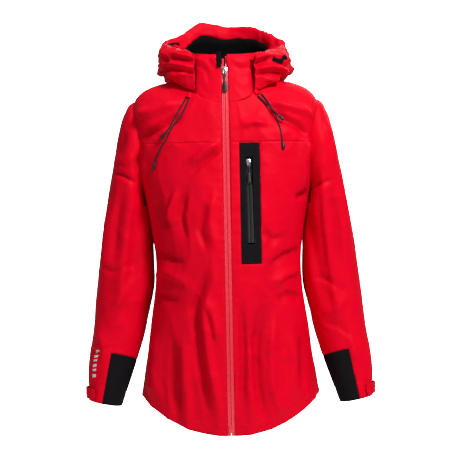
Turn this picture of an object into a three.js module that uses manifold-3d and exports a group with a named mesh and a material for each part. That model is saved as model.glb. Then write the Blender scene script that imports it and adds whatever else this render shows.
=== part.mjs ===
// A women's three-layer hardshell jacket with a two-way adjustable hood, worn shape, front zip closed.
// Millimetres, +Z up. The jacket faces -Y, and its wearer's left side is +X.
// The origin is the hang loop at the inside back of the neck.
import * as THREE from "three";
import Module from "manifold-3d";

const wasm = await Module();
wasm.setup();

// ---- Driving dimensions ---------------------------------------------------

const CLOTH = 2.4; // wall of a fabric panel with its backing and seam tape
const SEAM = 0.3; // gap left between two pieces that are sewn or pressed together
const LINING = 1.2; // wall of a facing, lining or backing strip
const RING_STEP = 62; // most height between two rings of a loft

// The centre front is one arc in the YZ plane, so that the zip can run along it.
const FRONT = { radius: 2000, height: -454, depth: -140 }; // its foremost point lies at this height and depth

// Torso rings, from the neck seam down to the hem: half width, depth of the back,
// squareness of the front and of the back, and the ring's height at front, side and rear.
const TORSO = [
  { half: 76, back: 62, square: 2.8, squareBack: 2.1, front: -47, side: 2, rear: 0 },
  { half: 104, back: 76, square: 2.7, squareBack: 2.2, front: -70, side: 0, rear: -18 },
  { half: 134, back: 87, square: 2.6, squareBack: 2.3, front: -92, side: -6, rear: -40 },
  { half: 164, back: 95, square: 2.6, squareBack: 2.4, front: -112, side: -21, rear: -66 },
  { half: 181, back: 100, square: 2.6, squareBack: 2.5, front: -134, side: -50, rear: -95 },
  { half: 179, back: 104, square: 2.5, squareBack: 2.5, front: -165, side: -110, rear: -140 },
  { half: 170, back: 107, square: 2.5, squareBack: 2.5, front: -205, side: -175, rear: -190 },
  { half: 157, back: 105, square: 2.5, squareBack: 2.5, front: -245, side: -235, rear: -240 },
  { half: 146, back: 97, square: 2.4, squareBack: 2.4, front: -300, side: -300, rear: -300 },
  { half: 141, back: 90, square: 2.4, squareBack: 2.4, front: -350, side: -347, rear: -350 },
  { half: 143, back: 91, square: 2.3, squareBack: 2.3, front: -410, side: -400, rear: -410 },
  { half: 153, back: 99, square: 2.3, squareBack: 2.3, front: -490, side: -470, rear: -490 },
  { half: 162, back: 108, square: 2.2, squareBack: 2.3, front: -575, side: -540, rear: -575 },
  { half: 173, back: 117, square: 2.2, squareBack: 2.3, front: -675, side: -605, rear: -668 },
];
const SIDE_SEAM_DEPTH = 8; // the side and shoulder seams lie in this plane
const YOKE_HEIGHT = -124; // seam between the front yoke and the front panel
const HEM_FACING = 30;

// Collar rings, from its top edge down to the neck seam.
const COLLAR = [
  { half: 72, back: 62, square: 2.8, squareBack: 2.1, front: 45, side: 52, rear: 58 },
  { half: 74, back: 63, square: 2.8, squareBack: 2.1, front: 0, side: 28, rear: 30 },
  { half: 76, back: 62, square: 2.8, squareBack: 2.1, front: -46.4, side: 2.6, rear: 0.6 },
];
const COLLAR_SEAM = 56; // half width of the two front collar panels together

// Sleeve stations, from inside the shoulder down to the cuff: outer and inner edge in the
// frontal plane as [x, z], half depth and the depth of the centre.
const SLEEVE = [
  { outer: [146, -24], inner: [128, -192], depth: 60, centre: 6 },
  { outer: [183, -39], inner: [150, -203], depth: 67, centre: 6 },
  { outer: [195, -57], inner: [156, -211], depth: 70, centre: 6 },
  { outer: [205, -84], inner: [160, -218], depth: 71, centre: 7 },
  { outer: [222, -165], inner: [159, -243], depth: 70, centre: 9 },
  { outer: [243, -285], inner: [154, -302], depth: 67, centre: 13 },
  { outer: [257, -395], inner: [152, -392], depth: 65, centre: 14 },
  { outer: [266, -478], inner: [161, -468], depth: 61, centre: 8 },
  { outer: [276, -548], inner: [179, -533], depth: 54, centre: -2 },
  { outer: [275, -612], inner: [211, -625], depth: 44, centre: -14 },
];
const SLEEVE_SQUARE = 2.2;
const ELBOW = 7; // number of the station where the straight forearm starts
const CUFF_BAND = 26;

// The reinforced panel on the inside of each forearm, measured from the cuff's centre
// along the forearm and across it.
const INSERT = { length: 92, outerEdge: 4 };

const TAB = { from: -65, to: 62, low: 0.9, high: 0.55, thickness: 2 }; // cuff tab: degrees round the cuff, shares of the last station
const PATCH = 1; // thickness of the hook and loop patches

// The hood lies rolled down round the collar. Each station holds the angle from the back,
// the reach of its floor and of its bulge beyond the collar, and the heights of bulge and rim.
const HOOD = [
  { angle: 0, floor: 30, bulge: 66, middle: -14, rim: 100, rimReach: 38 },
  { angle: 25, floor: 32, bulge: 66, middle: -8, rim: 106, rimReach: 38 },
  { angle: 50, floor: 36, bulge: 64, middle: 6, rim: 88, rimReach: 36 },
  { angle: 75, floor: 38, bulge: 58, middle: 26, rim: 76, rimReach: 38 },
  { angle: 95, floor: 36, bulge: 53, middle: 30, rim: 66, rimReach: 38 },
  { angle: 115, floor: 26, bulge: 36, middle: 22, rim: 58, rimReach: 22 },
  { angle: 133, floor: 9, bulge: 13, middle: 6, rim: 48, rimReach: 7 },
];
const HOOD_WALL = 3;

const ZIP = {
  channel: 6.8, // half width of the gap between the panels that the zip fills
  gap: 1.1, // half width of the slot between the two tapes
  tapeEdge: 12,
  tapeFront: -3.4, // depths below the cloth's outer face
  tapeBack: -4.5,
  coilEdge: 4.6,
  coilBack: -6.4,
  top: 41,
  bottom: -652,
};
const SLIDER = { width: 11.4, length: 15, plateFront: -0.7, plateTop: -3, backTop: -6.8, backPlate: -8, post: 0.75 };
const SLIDER_HEIGHT = 14; // where the slider stands at rest
const FLAP = { left: -22, right: 13, front: -8.4, back: -9.6, top: 40 };

const POCKET = { left: 25, right: 63, top: -126, bottom: -354 };
const POCKET_ZIP = { centre: 43, channel: 6, top: -155, bottom: -314, tapeEdge: 10.5, reference: -235 };
const POCKET_SLIDER_HEIGHT = -163;
const POCKET_DROP = -1.4; // the pocket's zip lies this much deeper than its track

const LOOP = { width: 44, band: 9, thickness: 2, drop: 10, depth: 51, height: 14 }; // depth and height from the middle of the neck
const COLOURS = {
  shell: 0xd8001f,
  panel: 0x17171a,
  lining: 0x1c1c1f,
  coating: 0xe23048,
  metal: 0xb9bcc2,
  cord: 0x26262a,
  print: 0xd9d9d9,
};

// ---- Solids ---------------------------------------------------------------

// A closed surface from points and triangles, turned so that its faces point out.
function solidFrom(points, triangles) {
  let volume = 0;
  const cross = new THREE.Vector3();
  for (const [a, b, c] of triangles) volume += points[a].dot(cross.crossVectors(points[b], points[c]));
  const facing = volume < 0 ? triangles.map(([a, b, c]) => [a, c, b]) : triangles;
  return new wasm.Manifold(
    new wasm.Mesh({
      numProp: 3,
      vertProperties: new Float32Array(points.flatMap((p) => p.toArray())),
      triVerts: new Uint32Array(facing.flat()),
    }),
  );
}

// The triangles that fill a flat ring, as indices into it.
function fillRing(ring) {
  const across = ring[1].clone().sub(ring[0]);
  const normal = new THREE.Vector3();
  ring.forEach((p, j) => normal.add(p.clone().cross(ring[(j + 1) % ring.length])));
  normal.normalize();
  across.addScaledVector(normal, -across.dot(normal)).normalize();
  const up = normal.clone().cross(across);
  return THREE.ShapeUtils.triangulateShape(ring.map((p) => new THREE.Vector2(p.dot(across), p.dot(up))), []);
}

// A solid through closed rings that all hold the same number of points. A flat end is filled as
// an outline, and an end that isn't flat gets a fan from its middle.
function loft(rings, ends = "fan") {
  const count = rings[0].length;
  const points = rings.flat();
  const triangles = [];
  for (let i = 0; i + 1 < rings.length; i++)
    for (let j = 0; j < count; j++) {
      const a = i * count + j;
      const b = i * count + ((j + 1) % count);
      triangles.push([a, a + count, b], [b, a + count, b + count]);
    }
  for (const end of [0, rings.length - 1]) {
    const ring = rings[end];
    if (ends === "flat") {
      for (const [a, b, c] of fillRing(ring).map((face) => face.map((k) => end * count + k)))
        triangles.push(end ? [a, c, b] : [a, b, c]);
      continue;
    }
    const middle = points.length;
    points.push(ring.reduce((sum, p) => sum.add(p), new THREE.Vector3()).divideScalar(count));
    for (let j = 0; j < count; j++) {
      const a = end * count + j;
      const b = end * count + ((j + 1) % count);
      triangles.push(end ? [middle, b, a] : [middle, a, b]);
    }
  }
  return solidFrom(points, triangles);
}

// The rings moved out along the loft's normal, or in where the distance is negative.
function offsetRings(rings, distance) {
  const count = rings[0].length;
  return rings.map((ring, i) =>
    ring.map((point, j) => {
      const around = ring[(j + 1) % count].clone().sub(ring[(j + count - 1) % count]);
      const above = rings[Math.max(i - 1, 0)][j];
      const below = rings[Math.min(i + 1, rings.length - 1)][j];
      const along = below.clone().sub(above);
      return point.clone().addScaledVector(along.cross(around).normalize(), distance);
    }),
  );
}

// The same rings with one more past each end, so that a cutter runs out of both mouths.
function extendRings(rings, distance) {
  const past = (end, next) =>
    end.map((p, j) => p.clone().addScaledVector(p.clone().sub(next[j]).normalize(), distance));
  return [past(rings[0], rings[1]), ...rings, past(rings.at(-1), rings.at(-2))];
}

// A curved plate: surface(u, v, offset) gives its points, and it lies between two offsets.
function plate(surface, [u0, u1, across], [v0, v1, down], near, far) {
  const points = [];
  for (const offset of [near, far])
    for (let i = 0; i <= across; i++)
      for (let j = 0; j <= down; j++)
        points.push(surface(u0 + ((u1 - u0) * i) / across, v0 + ((v1 - v0) * j) / down, offset));
  const layer = (across + 1) * (down + 1);
  const at = (i, j, side) => side * layer + i * (down + 1) + j;
  const triangles = [];
  const quad = (a, b, c, d) => triangles.push([a, b, c], [a, c, d]);
  for (let i = 0; i < across; i++)
    for (let j = 0; j < down; j++) {
      quad(at(i, j, 0), at(i, j + 1, 0), at(i + 1, j + 1, 0), at(i + 1, j, 0));
      quad(at(i, j, 1), at(i + 1, j, 1), at(i + 1, j + 1, 1), at(i, j + 1, 1));
    }
  for (let i = 0; i < across; i++) {
    quad(at(i, 0, 0), at(i + 1, 0, 0), at(i + 1, 0, 1), at(i, 0, 1));
    quad(at(i, down, 0), at(i, down, 1), at(i + 1, down, 1), at(i + 1, down, 0));
  }
  for (let j = 0; j < down; j++) {
    quad(at(0, j, 0), at(0, j, 1), at(0, j + 1, 1), at(0, j + 1, 0));
    quad(at(across, j, 0), at(across, j + 1, 0), at(across, j + 1, 1), at(across, j, 1));
  }
  return solidFrom(points, triangles);
}

// A straight-sided block between two corners.
function block([x0, y0, z0], [x1, y1, z1]) {
  const section = (z) => [[x0, y0], [x1, y0], [x1, y1], [x0, y1]].map(([x, y]) => new THREE.Vector3(x, y, z));
  return loft([section(z1), section(z0)]);
}

const WIDE = 900; // reaches past the jacket on every side
const halfSpace = (axis, from, to) => {
  const low = [-WIDE, -WIDE, -WIDE];
  const high = [WIDE, WIDE, WIDE];
  low[axis] = from;
  high[axis] = to;
  return block(low, high);
};
const cut = (solid, ...cutters) => cutters.reduce((left, cutter) => left.subtract(cutter), solid);
const common = (...solids) => solids.reduce((left, right) => left.intersect(right));

function geometryOf(solid) {
  const mesh = solid.getMesh();
  const positions = new Float32Array(mesh.numVert * 3);
  for (let i = 0; i < mesh.numVert; i++)
    positions.set(mesh.vertProperties.subarray(i * mesh.numProp, i * mesh.numProp + 3), i * 3);
  const geometry = new THREE.BufferGeometry();
  geometry.setAttribute("position", new THREE.BufferAttribute(positions, 3));
  geometry.setIndex(new THREE.BufferAttribute(new Uint32Array(mesh.triVerts), 1));
  geometry.computeVertexNormals();
  return geometry;
}

// ---- Scene ----------------------------------------------------------------

const jacket = new THREE.Group();
jacket.name = "hardshell_jacket";
const garment = new THREE.Group(); // drawn about the middle of the neck
garment.position.set(0, -LOOP.depth, -LOOP.height);
jacket.add(garment);

const finish = {
  shell: { roughness: 0.55, metalness: 0 },
  panel: { roughness: 0.8, metalness: 0 },
  lining: { roughness: 0.85, metalness: 0 },
  coating: { roughness: 0.25, metalness: 0 },
  metal: { roughness: 0.3, metalness: 1 },
  cord: { roughness: 0.8, metalness: 0 },
  print: { roughness: 0.35, metalness: 0.2 },
};

function add(name, shape, look, parent = garment) {
  const geometry = shape.isBufferGeometry ? shape : geometryOf(shape);
  const material = new THREE.MeshStandardMaterial({ color: COLOURS[look], ...finish[look] });
  const mesh = new THREE.Mesh(geometry, material);
  mesh.name = name;
  parent.add(mesh);
  return mesh;
}

// ---- Torso ----------------------------------------------------------------

const frontDepth = (z) =>
  FRONT.depth + FRONT.radius - Math.sqrt(FRONT.radius ** 2 - (z - FRONT.height) ** 2);

const between = (a, b, t) => Object.fromEntries(Object.keys(a).map((key) => [key, a[key] + (b[key] - a[key]) * t]));

// Stations with steps put in, so that no two are further apart than RING_STEP.
function closeStations(stations, heightGap) {
  const close = [stations[0]];
  for (let i = 1; i < stations.length; i++) {
    const steps = Math.ceil(heightGap(stations[i - 1], stations[i]) / RING_STEP);
    for (let k = 1; k <= steps; k++) close.push(between(stations[i - 1], stations[i], k / steps));
  }
  return close;
}

// Directions round a ring, in degrees from the front towards +X, closer together at the front.
const HALF_ROUND = [4, 10, 17, 26, 38, 52, 66, 80, 95, 110, 125, 140, 155, 168];
const ROUND = [0, ...HALF_ROUND, 180, ...HALF_ROUND.map((degrees) => 360 - degrees).reverse()];
const power = (value, exponent) => Math.sign(value) * Math.abs(value) ** exponent;

function ringPoint({ half, back, square, squareBack, front, side, rear }, degrees) {
  const angle = THREE.MathUtils.degToRad(degrees);
  const ahead = Math.cos(angle);
  const aside = Math.sin(angle);
  const exponent = 2 / (ahead > 0 ? square : squareBack);
  const depth = ahead > 0 ? -frontDepth(front) : back;
  const height = (ahead > 0 ? front : rear) * ahead ** 2 + side * aside ** 2;
  return new THREE.Vector3(half * power(aside, exponent), -depth * power(ahead, exponent), height);
}
const bodyRing = (station) => ROUND.map((degrees) => ringPoint(station, degrees));

const torsoRings = closeStations(TORSO, (a, b) => a.front - b.front).map(bodyRing);
const torsoFilled = (offset) => loft(offsetRings(torsoRings, offset));
const torsoOuter = torsoFilled(0);
const torsoShell = cut(torsoOuter, loft(extendRings(offsetRings(torsoRings, -CLOTH), 30)));

// The depth of the cloth's front face at a place seen from the front, and its height seen from above.
const torsoSurface = new THREE.Mesh(geometryOf(torsoOuter), new THREE.MeshBasicMaterial({ side: THREE.DoubleSide }));
const ray = new THREE.Raycaster();
function torsoFront(x, z) {
  ray.set(new THREE.Vector3(x, -WIDE, z), new THREE.Vector3(0, 1, 0));
  return ray.intersectObject(torsoSurface)[0].point.y;
}
function torsoTop(x, y) {
  ray.set(new THREE.Vector3(x, y, WIDE), new THREE.Vector3(0, 0, -1));
  return ray.intersectObject(torsoSurface)[0].point.z;
}

// ---- Sleeves --------------------------------------------------------------

// A point on a sleeve: side is 1 for the wearer's left, place counts stations and may lie
// between two, and degrees run from the outer edge towards the back.
function sleevePoint(side, place, degrees, offset = 0) {
  const low = Math.min(Math.floor(place), SLEEVE.length - 2);
  const share = place - low;
  const [a, b] = [SLEEVE[low], SLEEVE[low + 1]];
  const mix = (from, to) => from + (to - from) * share;
  const angle = THREE.MathUtils.degToRad(degrees);
  const outX = mix(a.outer[0], b.outer[0]);
  const outZ = mix(a.outer[1], b.outer[1]);
  const inX = mix(a.inner[0], b.inner[0]);
  const inZ = mix(a.inner[1], b.inner[1]);
  const reach = Math.hypot(outX - inX, outZ - inZ) / 2;
  const wide = power(Math.cos(angle), 2 / SLEEVE_SQUARE);
  const deep = power(Math.sin(angle), 2 / SLEEVE_SQUARE);
  const outwards = (wide * (reach + offset)) / (2 * reach);
  const depth = mix(a.depth, b.depth) + offset;
  return new THREE.Vector3(
    side * ((outX + inX) / 2 + outwards * (outX - inX)),
    mix(a.centre, b.centre) + deep * depth,
    (outZ + inZ) / 2 + outwards * (outZ - inZ),
  );
}

const SLEEVE_SIDES = 16;
const sleeveRing = (side, place, offset) =>
  Array.from({ length: SLEEVE_SIDES }, (_, i) => sleevePoint(side, place, (side * 360 * i) / SLEEVE_SIDES, offset));
function sleeveRings(side, offset, from = 0) {
  const places = [];
  for (let place = from; place < SLEEVE.length - 1; place = Math.floor(place) + 1) places.push(place);
  return [...places, SLEEVE.length - 1].map((place) => sleeveRing(side, place, offset));
}
const sleeveFilled = (side, offset, from) => loft(sleeveRings(side, offset, from));

const LAST = SLEEVE.length - 1;
const cuffCentre = (side, share = 1) =>
  sleevePoint(side, LAST - 1 + share, 0).add(sleevePoint(side, LAST - 1 + share, 180)).multiplyScalar(0.5);

// The part of a sleeve between two distances from the cuff, and on one side of a line along it.
function forearmRegion(side, fromCuff, toCuff, inside, outside) {
  const end = cuffCentre(side);
  const up = cuffCentre(side, 0).sub(end).normalize();
  const out = sleevePoint(side, LAST, 0).sub(end);
  out.addScaledVector(up, -out.dot(up)).normalize();
  const back = new THREE.Vector3().crossVectors(up, out);
  const corner = (along, across, deep) =>
    end.clone().addScaledVector(up, along).addScaledVector(out, across).addScaledVector(back, deep);
  const section = (along) => [
    corner(along, inside, -WIDE),
    corner(along, outside, -WIDE),
    corner(along, outside, WIDE),
    corner(along, inside, WIDE),
  ];
  return loft([section(fromCuff), section(toCuff)]);
}

function makeSleeve(side, name) {
  const shell = cut(
    sleeveFilled(side, 0),
    loft(extendRings(sleeveRings(side, -CLOTH), 20)),
    torsoOuter,
  );
  const panel = forearmRegion(side, -40, INSERT.length, -WIDE, INSERT.outerEdge);
  const panelGap = forearmRegion(side, -41, INSERT.length + SEAM, -WIDE - 1, INSERT.outerEdge + SEAM);
  add(`${name}_sleeve`, cut(shell, panelGap), "shell");
  add(`${name}_forearm_panel`, common(shell, panel), "panel");

  const band = forearmRegion(side, 1.5, CUFF_BAND, -WIDE, WIDE);
  const facing = cut(
    sleeveFilled(side, -CLOTH - SEAM, ELBOW),
    loft(extendRings(sleeveRings(side, -CLOTH - SEAM - LINING, ELBOW), 20)),
  );
  add(`${name}_cuff_facing`, common(facing, band), "lining");

  // The tab is sewn down at the back of the cuff, wraps its outer side and closes at the front.
  const tabPlace = (degrees, share, offset) => sleevePoint(side, LAST - 1 + share, -degrees, offset);
  const loopTop = 0.35 + SEAM;
  const hookNear = loopTop + PATCH + 0.35;
  const tabNear = hookNear + PATCH + 0.3;
  const rows = [TAB.high, TAB.low, 1];
  const grow = 0.04; // the loop patch is a little wider than the tab
  add(
    `${name}_cuff_loop_patch`,
    plate(tabPlace, [TAB.from, TAB.to - 4, 10], [TAB.high + grow, TAB.low - grow, 1], loopTop, loopTop + PATCH),
    "lining",
  );
  add(
    `${name}_cuff_hook_patch`,
    plate(tabPlace, [TAB.to - 44, TAB.to - 6, 4], [TAB.high + grow, TAB.low - grow, 1], hookNear, hookNear + PATCH),
    "lining",
  );
  add(`${name}_cuff_tab`, plate(tabPlace, [TAB.from, TAB.to, 10], rows, tabNear, tabNear + TAB.thickness), "shell");
}

for (const [side, name] of [[1, "left"], [-1, "right"]]) makeSleeve(side, name);

// ---- Zip track ------------------------------------------------------------

// A frame whose origin is the arc's foremost point: its own x runs across the zip, and
// heights below are the jacket's.
function trackGroup(x, depth, turn) {
  const group = new THREE.Group();
  group.position.set(x, depth, FRONT.height);
  group.rotation.z = turn;
  garment.add(group);
  return group;
}

// A point of the track's frame: across, out from the cloth's face, and at a height.
function trackPoint(across, out, height) {
  const angle = Math.asin((height - FRONT.height) / FRONT.radius);
  const reach = FRONT.radius + out;
  return new THREE.Vector3(across, FRONT.radius - reach * Math.cos(angle), reach * Math.sin(angle));
}

// An outline of [across, out] points drawn along the track between two heights.
function trackSweep(outline, top, bottom) {
  const steps = Math.max(1, Math.ceil((top - bottom) / RING_STEP));
  return loft(
    Array.from({ length: steps + 1 }, (_, i) =>
      outline.map(([across, out]) => trackPoint(across, out, top + ((bottom - top) * i) / steps)),
    ),
    "flat",
  );
}
const strip = (x0, x1, back, front) => [[x0, front], [x1, front], [x1, back], [x0, back]];

// A group that stands on the track at a height, with its own -y pointing out of the cloth.
function onTrack(parent, height) {
  const group = new THREE.Group();
  group.position.copy(trackPoint(0, 0, height));
  group.rotation.x = -Math.asin((height - FRONT.height) / FRONT.radius);
  parent.add(group);
  return group;
}

// The panel cutter for a zip's channel, in the garment's frame.
function inGarment(solid, group) {
  group.updateMatrix();
  return solid.transform(group.matrix.elements);
}

function addZip(prefix, group, size, sink) {
  for (const [side, name] of [[1, "left"], [-1, "right"]]) {
    const tape = strip(side * size.gap, side * size.tapeEdge, size.tapeBack + sink, size.tapeFront + sink);
    const coil = strip(side * size.gap, side * size.coilEdge, size.coilBack + sink, size.tapeBack - SEAM + sink);
    add(`${prefix}_tape_${name}`, trackSweep(tape, size.top, size.bottom), "coating", group);
    add(`${prefix}_coil_${name}`, trackSweep(coil, size.top - 3, size.bottom + 1), "lining", group);
  }
}

// The slider is one casting: a top plate, a back plate and the post between them, which runs
// in the slot, with a bridge on top that carries the pull.
function sliderOutline(size, sink) {
  const half = size.width / 2;
  const right = [
    [size.post, size.backTop + sink],
    [half, size.backTop + sink],
    [half, size.backPlate + sink],
  ];
  const top = [
    [half - 1.2, size.plateFront + sink],
    [half, size.plateFront - 1 + sink],
    [half, size.plateTop + sink],
    [size.post, size.plateTop + sink],
  ];
  const outline = [...top, ...right];
  return [...outline, ...outline.map(([x, out]) => [-x, out]).reverse()];
}

const BRIDGE = { width: 2.4, length: 8, bore: 1.3, stand: 1.9 }; // its bore stands this far out of the cloth's face

// An extrusion along x of an outline in the YZ plane, centred on x = 0.
function crossPiece(outline, width) {
  const section = (x) => outline.map(([y, z]) => new THREE.Vector3(x, y, z));
  return loft([section(-width / 2), section(width / 2)], "flat");
}

function addSlider(prefix, group, height, size, sink) {
  const stand = onTrack(group, height);
  const outline = sliderOutline(size, sink);
  const ends = [size.length / 2, -size.length / 2];
  const casting = loft(ends.map((z) => outline.map(([x, out]) => new THREE.Vector3(x, -out, z))), "flat");
  const base = -(size.plateFront + sink) + 0.4;
  const top = -BRIDGE.stand - 2.2;
  const bridge = crossPiece(
    [[base, BRIDGE.length / 2], [top, BRIDGE.length / 2 - 1], [top, -BRIDGE.length / 2 + 1], [base, -BRIDGE.length / 2]],
    BRIDGE.width,
  );
  const pivot = { depth: -BRIDGE.stand, height: 0 };
  const bore = crossPiece(
    Array.from({ length: 8 }, (_, i) => {
      const angle = (i * Math.PI) / 4;
      return [pivot.depth + BRIDGE.bore * Math.cos(angle), BRIDGE.bore * Math.sin(angle)];
    }),
    BRIDGE.width + 2,
  );
  add(`${prefix}_slider`, cut(casting.add(bridge), bore), "metal", stand);
  return { stand, pivot };
}

// The wire bail is a closed loop through the bridge's bore.
function bailPath(pivot, half, length) {
  const y = pivot.depth;
  return [
    [-half, 0], [-half, -length * 0.55], [-1.2, -length], [1.2, -length], [half, -length * 0.55], [half, 0],
  ].map(([x, z]) => new THREE.Vector3(x, y, z + pivot.height));
}

function addPull(prefix, stand, pivot, size) {
  const path = bailPath(pivot, size.bailHalf, size.bail);
  const sides = 6;
  const rings = path.map((point, i) => {
    const before = path[(i + path.length - 1) % path.length];
    const after = path[(i + 1) % path.length];
    const along = after.clone().sub(before).normalize();
    const depth = new THREE.Vector3(0, 1, 0);
    const aside = new THREE.Vector3().crossVectors(along, depth);
    return Array.from({ length: sides }, (_, k) => {
      const angle = (2 * Math.PI * k) / sides;
      return point
        .clone()
        .addScaledVector(depth, size.wire * Math.sin(angle))
        .addScaledVector(aside, size.wire * Math.cos(angle));
    });
  });
  const points = rings.flat();
  const triangles = [];
  rings.forEach((_, i) => {
    const next = (i + 1) % rings.length;
    for (let k = 0; k < sides; k++) {
      const after = (k + 1) % sides;
      const [a, b, c, d] = [i * sides + k, i * sides + after, next * sides + k, next * sides + after];
      triangles.push([a, b, c], [b, d, c]);
    }
  });
  add(`${prefix}_pull_bail`, solidFrom(points, triangles), "metal", stand);

  // The grip is a moulded cord pull: a loop end round the bail's foot, a thin neck and a wide tab.
  const foot = pivot.height - size.bail - size.wire - SEAM;
  const outline = [
    [-size.neck, 0], [size.neck, 0], [size.neck, -size.neckLength], [size.tab, -size.neckLength - 3],
    [size.tab * 1.1, -size.pull + 1.5], [size.tab * 0.8, -size.pull], [-size.tab * 0.8, -size.pull],
    [-size.tab * 1.1, -size.pull + 1.5], [-size.tab, -size.neckLength - 3], [-size.neck, -size.neckLength],
  ];
  const section = (y) => outline.map(([x, z]) => new THREE.Vector3(x, y, z + foot));
  const grip = loft([section(pivot.depth - 1.3), section(pivot.depth + 1.3)], "flat");
  add(`${prefix}_pull_grip`, grip, "cord", stand);
}

// ---- Front zip ------------------------------------------------------------

const frontTrack = trackGroup(0, FRONT.depth, 0);
addZip("front_zip", frontTrack, ZIP, 0);
const frontSlider = addSlider("front_zip", frontTrack, SLIDER_HEIGHT, SLIDER, 0);
addPull("front_zip", frontSlider.stand, frontSlider.pivot, {
  bailHalf: 2.6, bail: 9, wire: 0.7, neck: 1.5, neckLength: 13, tab: 4.2, pull: 34,
});
const boxTop = ZIP.bottom - SEAM;
add("front_zip_box", trackSweep(strip(-5.6, 5.6, -7.4, -1.6), boxTop, boxTop - 12), "metal", frontTrack);
add(
  "front_storm_flap",
  trackSweep(
    [
      [FLAP.left, ZIP.tapeBack - SEAM], [-ZIP.tapeEdge + 4, ZIP.tapeBack - SEAM], [-ZIP.tapeEdge + 4, FLAP.front],
      [FLAP.right, FLAP.front], [FLAP.right, FLAP.back], [FLAP.left, FLAP.back],
    ],
    FLAP.top,
    ZIP.bottom - 10,
  ),
  "lining",
  frontTrack,
);
const frontChannel = inGarment(
  trackSweep(strip(-ZIP.channel, ZIP.channel, -CLOTH - 1, 20), COLLAR[0].front + 40, TORSO.at(-1).front - 40),
  frontTrack,
);

// ---- Chest pocket ---------------------------------------------------------

const across = 6;
const pocketTurn = Math.atan2(
  torsoFront(POCKET_ZIP.centre + across, POCKET_ZIP.reference) - torsoFront(POCKET_ZIP.centre - across, POCKET_ZIP.reference),
  2 * across,
);
const bow = FRONT.radius - Math.sqrt(FRONT.radius ** 2 - (POCKET_ZIP.reference - FRONT.height) ** 2);
const pocketTrack = trackGroup(
  POCKET_ZIP.centre + bow * Math.sin(pocketTurn),
  torsoFront(POCKET_ZIP.centre, POCKET_ZIP.reference) - bow * Math.cos(pocketTurn),
  pocketTurn,
);
const pocketSize = { ...ZIP, top: POCKET_ZIP.top, bottom: POCKET_ZIP.bottom, tapeEdge: POCKET_ZIP.tapeEdge, coilEdge: 3.8 };
addZip("pocket_zip", pocketTrack, pocketSize, POCKET_DROP);
const pocketSlider = addSlider(
  "pocket_zip", pocketTrack, POCKET_SLIDER_HEIGHT, { ...SLIDER, width: 9.6, length: 12 }, POCKET_DROP,
);
addPull("pocket_zip", pocketSlider.stand, pocketSlider.pivot, {
  bailHalf: 2.4, bail: 8, wire: 0.6, neck: 1.4, neckLength: 12, tab: 3.4, pull: 32,
});
const bagEdge = POCKET_ZIP.tapeEdge + 6;
const bagFlange = POCKET_ZIP.tapeEdge - 3;
const tapeFoot = ZIP.tapeBack - SEAM + POCKET_DROP;
const bagFront = SLIDER.backPlate + POCKET_DROP - 0.4;
add(
  "pocket_bag",
  trackSweep(
    [
      [-bagEdge, tapeFoot - 0.6], [-bagFlange, tapeFoot], [-bagFlange, bagFront], [bagFlange, bagFront],
      [bagFlange, tapeFoot], [bagEdge, tapeFoot - 0.6], [bagEdge, bagFront - 2], [-bagEdge, bagFront - 2],
    ],
    POCKET_ZIP.top + 8,
    POCKET_ZIP.bottom - 30,
  ),
  "lining",
  pocketTrack,
);
const pocketChannel = inGarment(
  trackSweep(strip(-POCKET_ZIP.channel, POCKET_ZIP.channel, -CLOTH - 2, 20), POCKET_ZIP.top + 2, POCKET_ZIP.bottom - 2),
  pocketTrack,
);

// ---- Torso panels ---------------------------------------------------------

const sleeveCutters = [1, -1].map((side) => sleeveFilled(side, SEAM));
const body = cut(torsoShell, ...sleeveCutters, frontChannel);
const backHalf = halfSpace(1, SIDE_SEAM_DEPTH + SEAM / 2, WIDE);
const frontHalf = halfSpace(1, -WIDE, SIDE_SEAM_DEPTH - SEAM / 2);
const aboveYoke = halfSpace(2, YOKE_HEIGHT + SEAM / 2, WIDE);
const belowYoke = halfSpace(2, -WIDE, YOKE_HEIGHT - SEAM / 2);
const pocketBox = (grow) =>
  block([POCKET.left - grow, -WIDE, POCKET.bottom - grow], [POCKET.right + grow, 0, POCKET.top + grow]);

add("back_panel", common(body, backHalf), "shell");
for (const [name, from, to] of [["left", 0, WIDE], ["right", -WIDE, 0]]) {
  const half = common(body, frontHalf, halfSpace(0, from, to));
  add(`${name}_front_yoke`, common(half, aboveYoke), "shell");
  add(`${name}_front_panel`, cut(common(half, belowYoke), pocketBox(SEAM)), "shell");
}
add("chest_pocket_panel", cut(common(body, pocketBox(0)), pocketChannel), "panel");

const hemRings = closeStations([between(TORSO.at(-2), TORSO.at(-1), 1 - HEM_FACING / 100), TORSO.at(-1)], () => 30).map(bodyRing);
const hemZone = halfSpace(0, FLAP.left - 2, ZIP.tapeEdge + 2).intersect(frontHalf);
add(
  "hem_facing",
  cut(
    loft(offsetRings(hemRings, -CLOTH - 2 * SEAM)),
    loft(extendRings(offsetRings(hemRings, -CLOTH - 2 * SEAM - LINING), 30)),
    hemZone,
  ),
  "lining",
);

// ---- Collar ---------------------------------------------------------------

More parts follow.
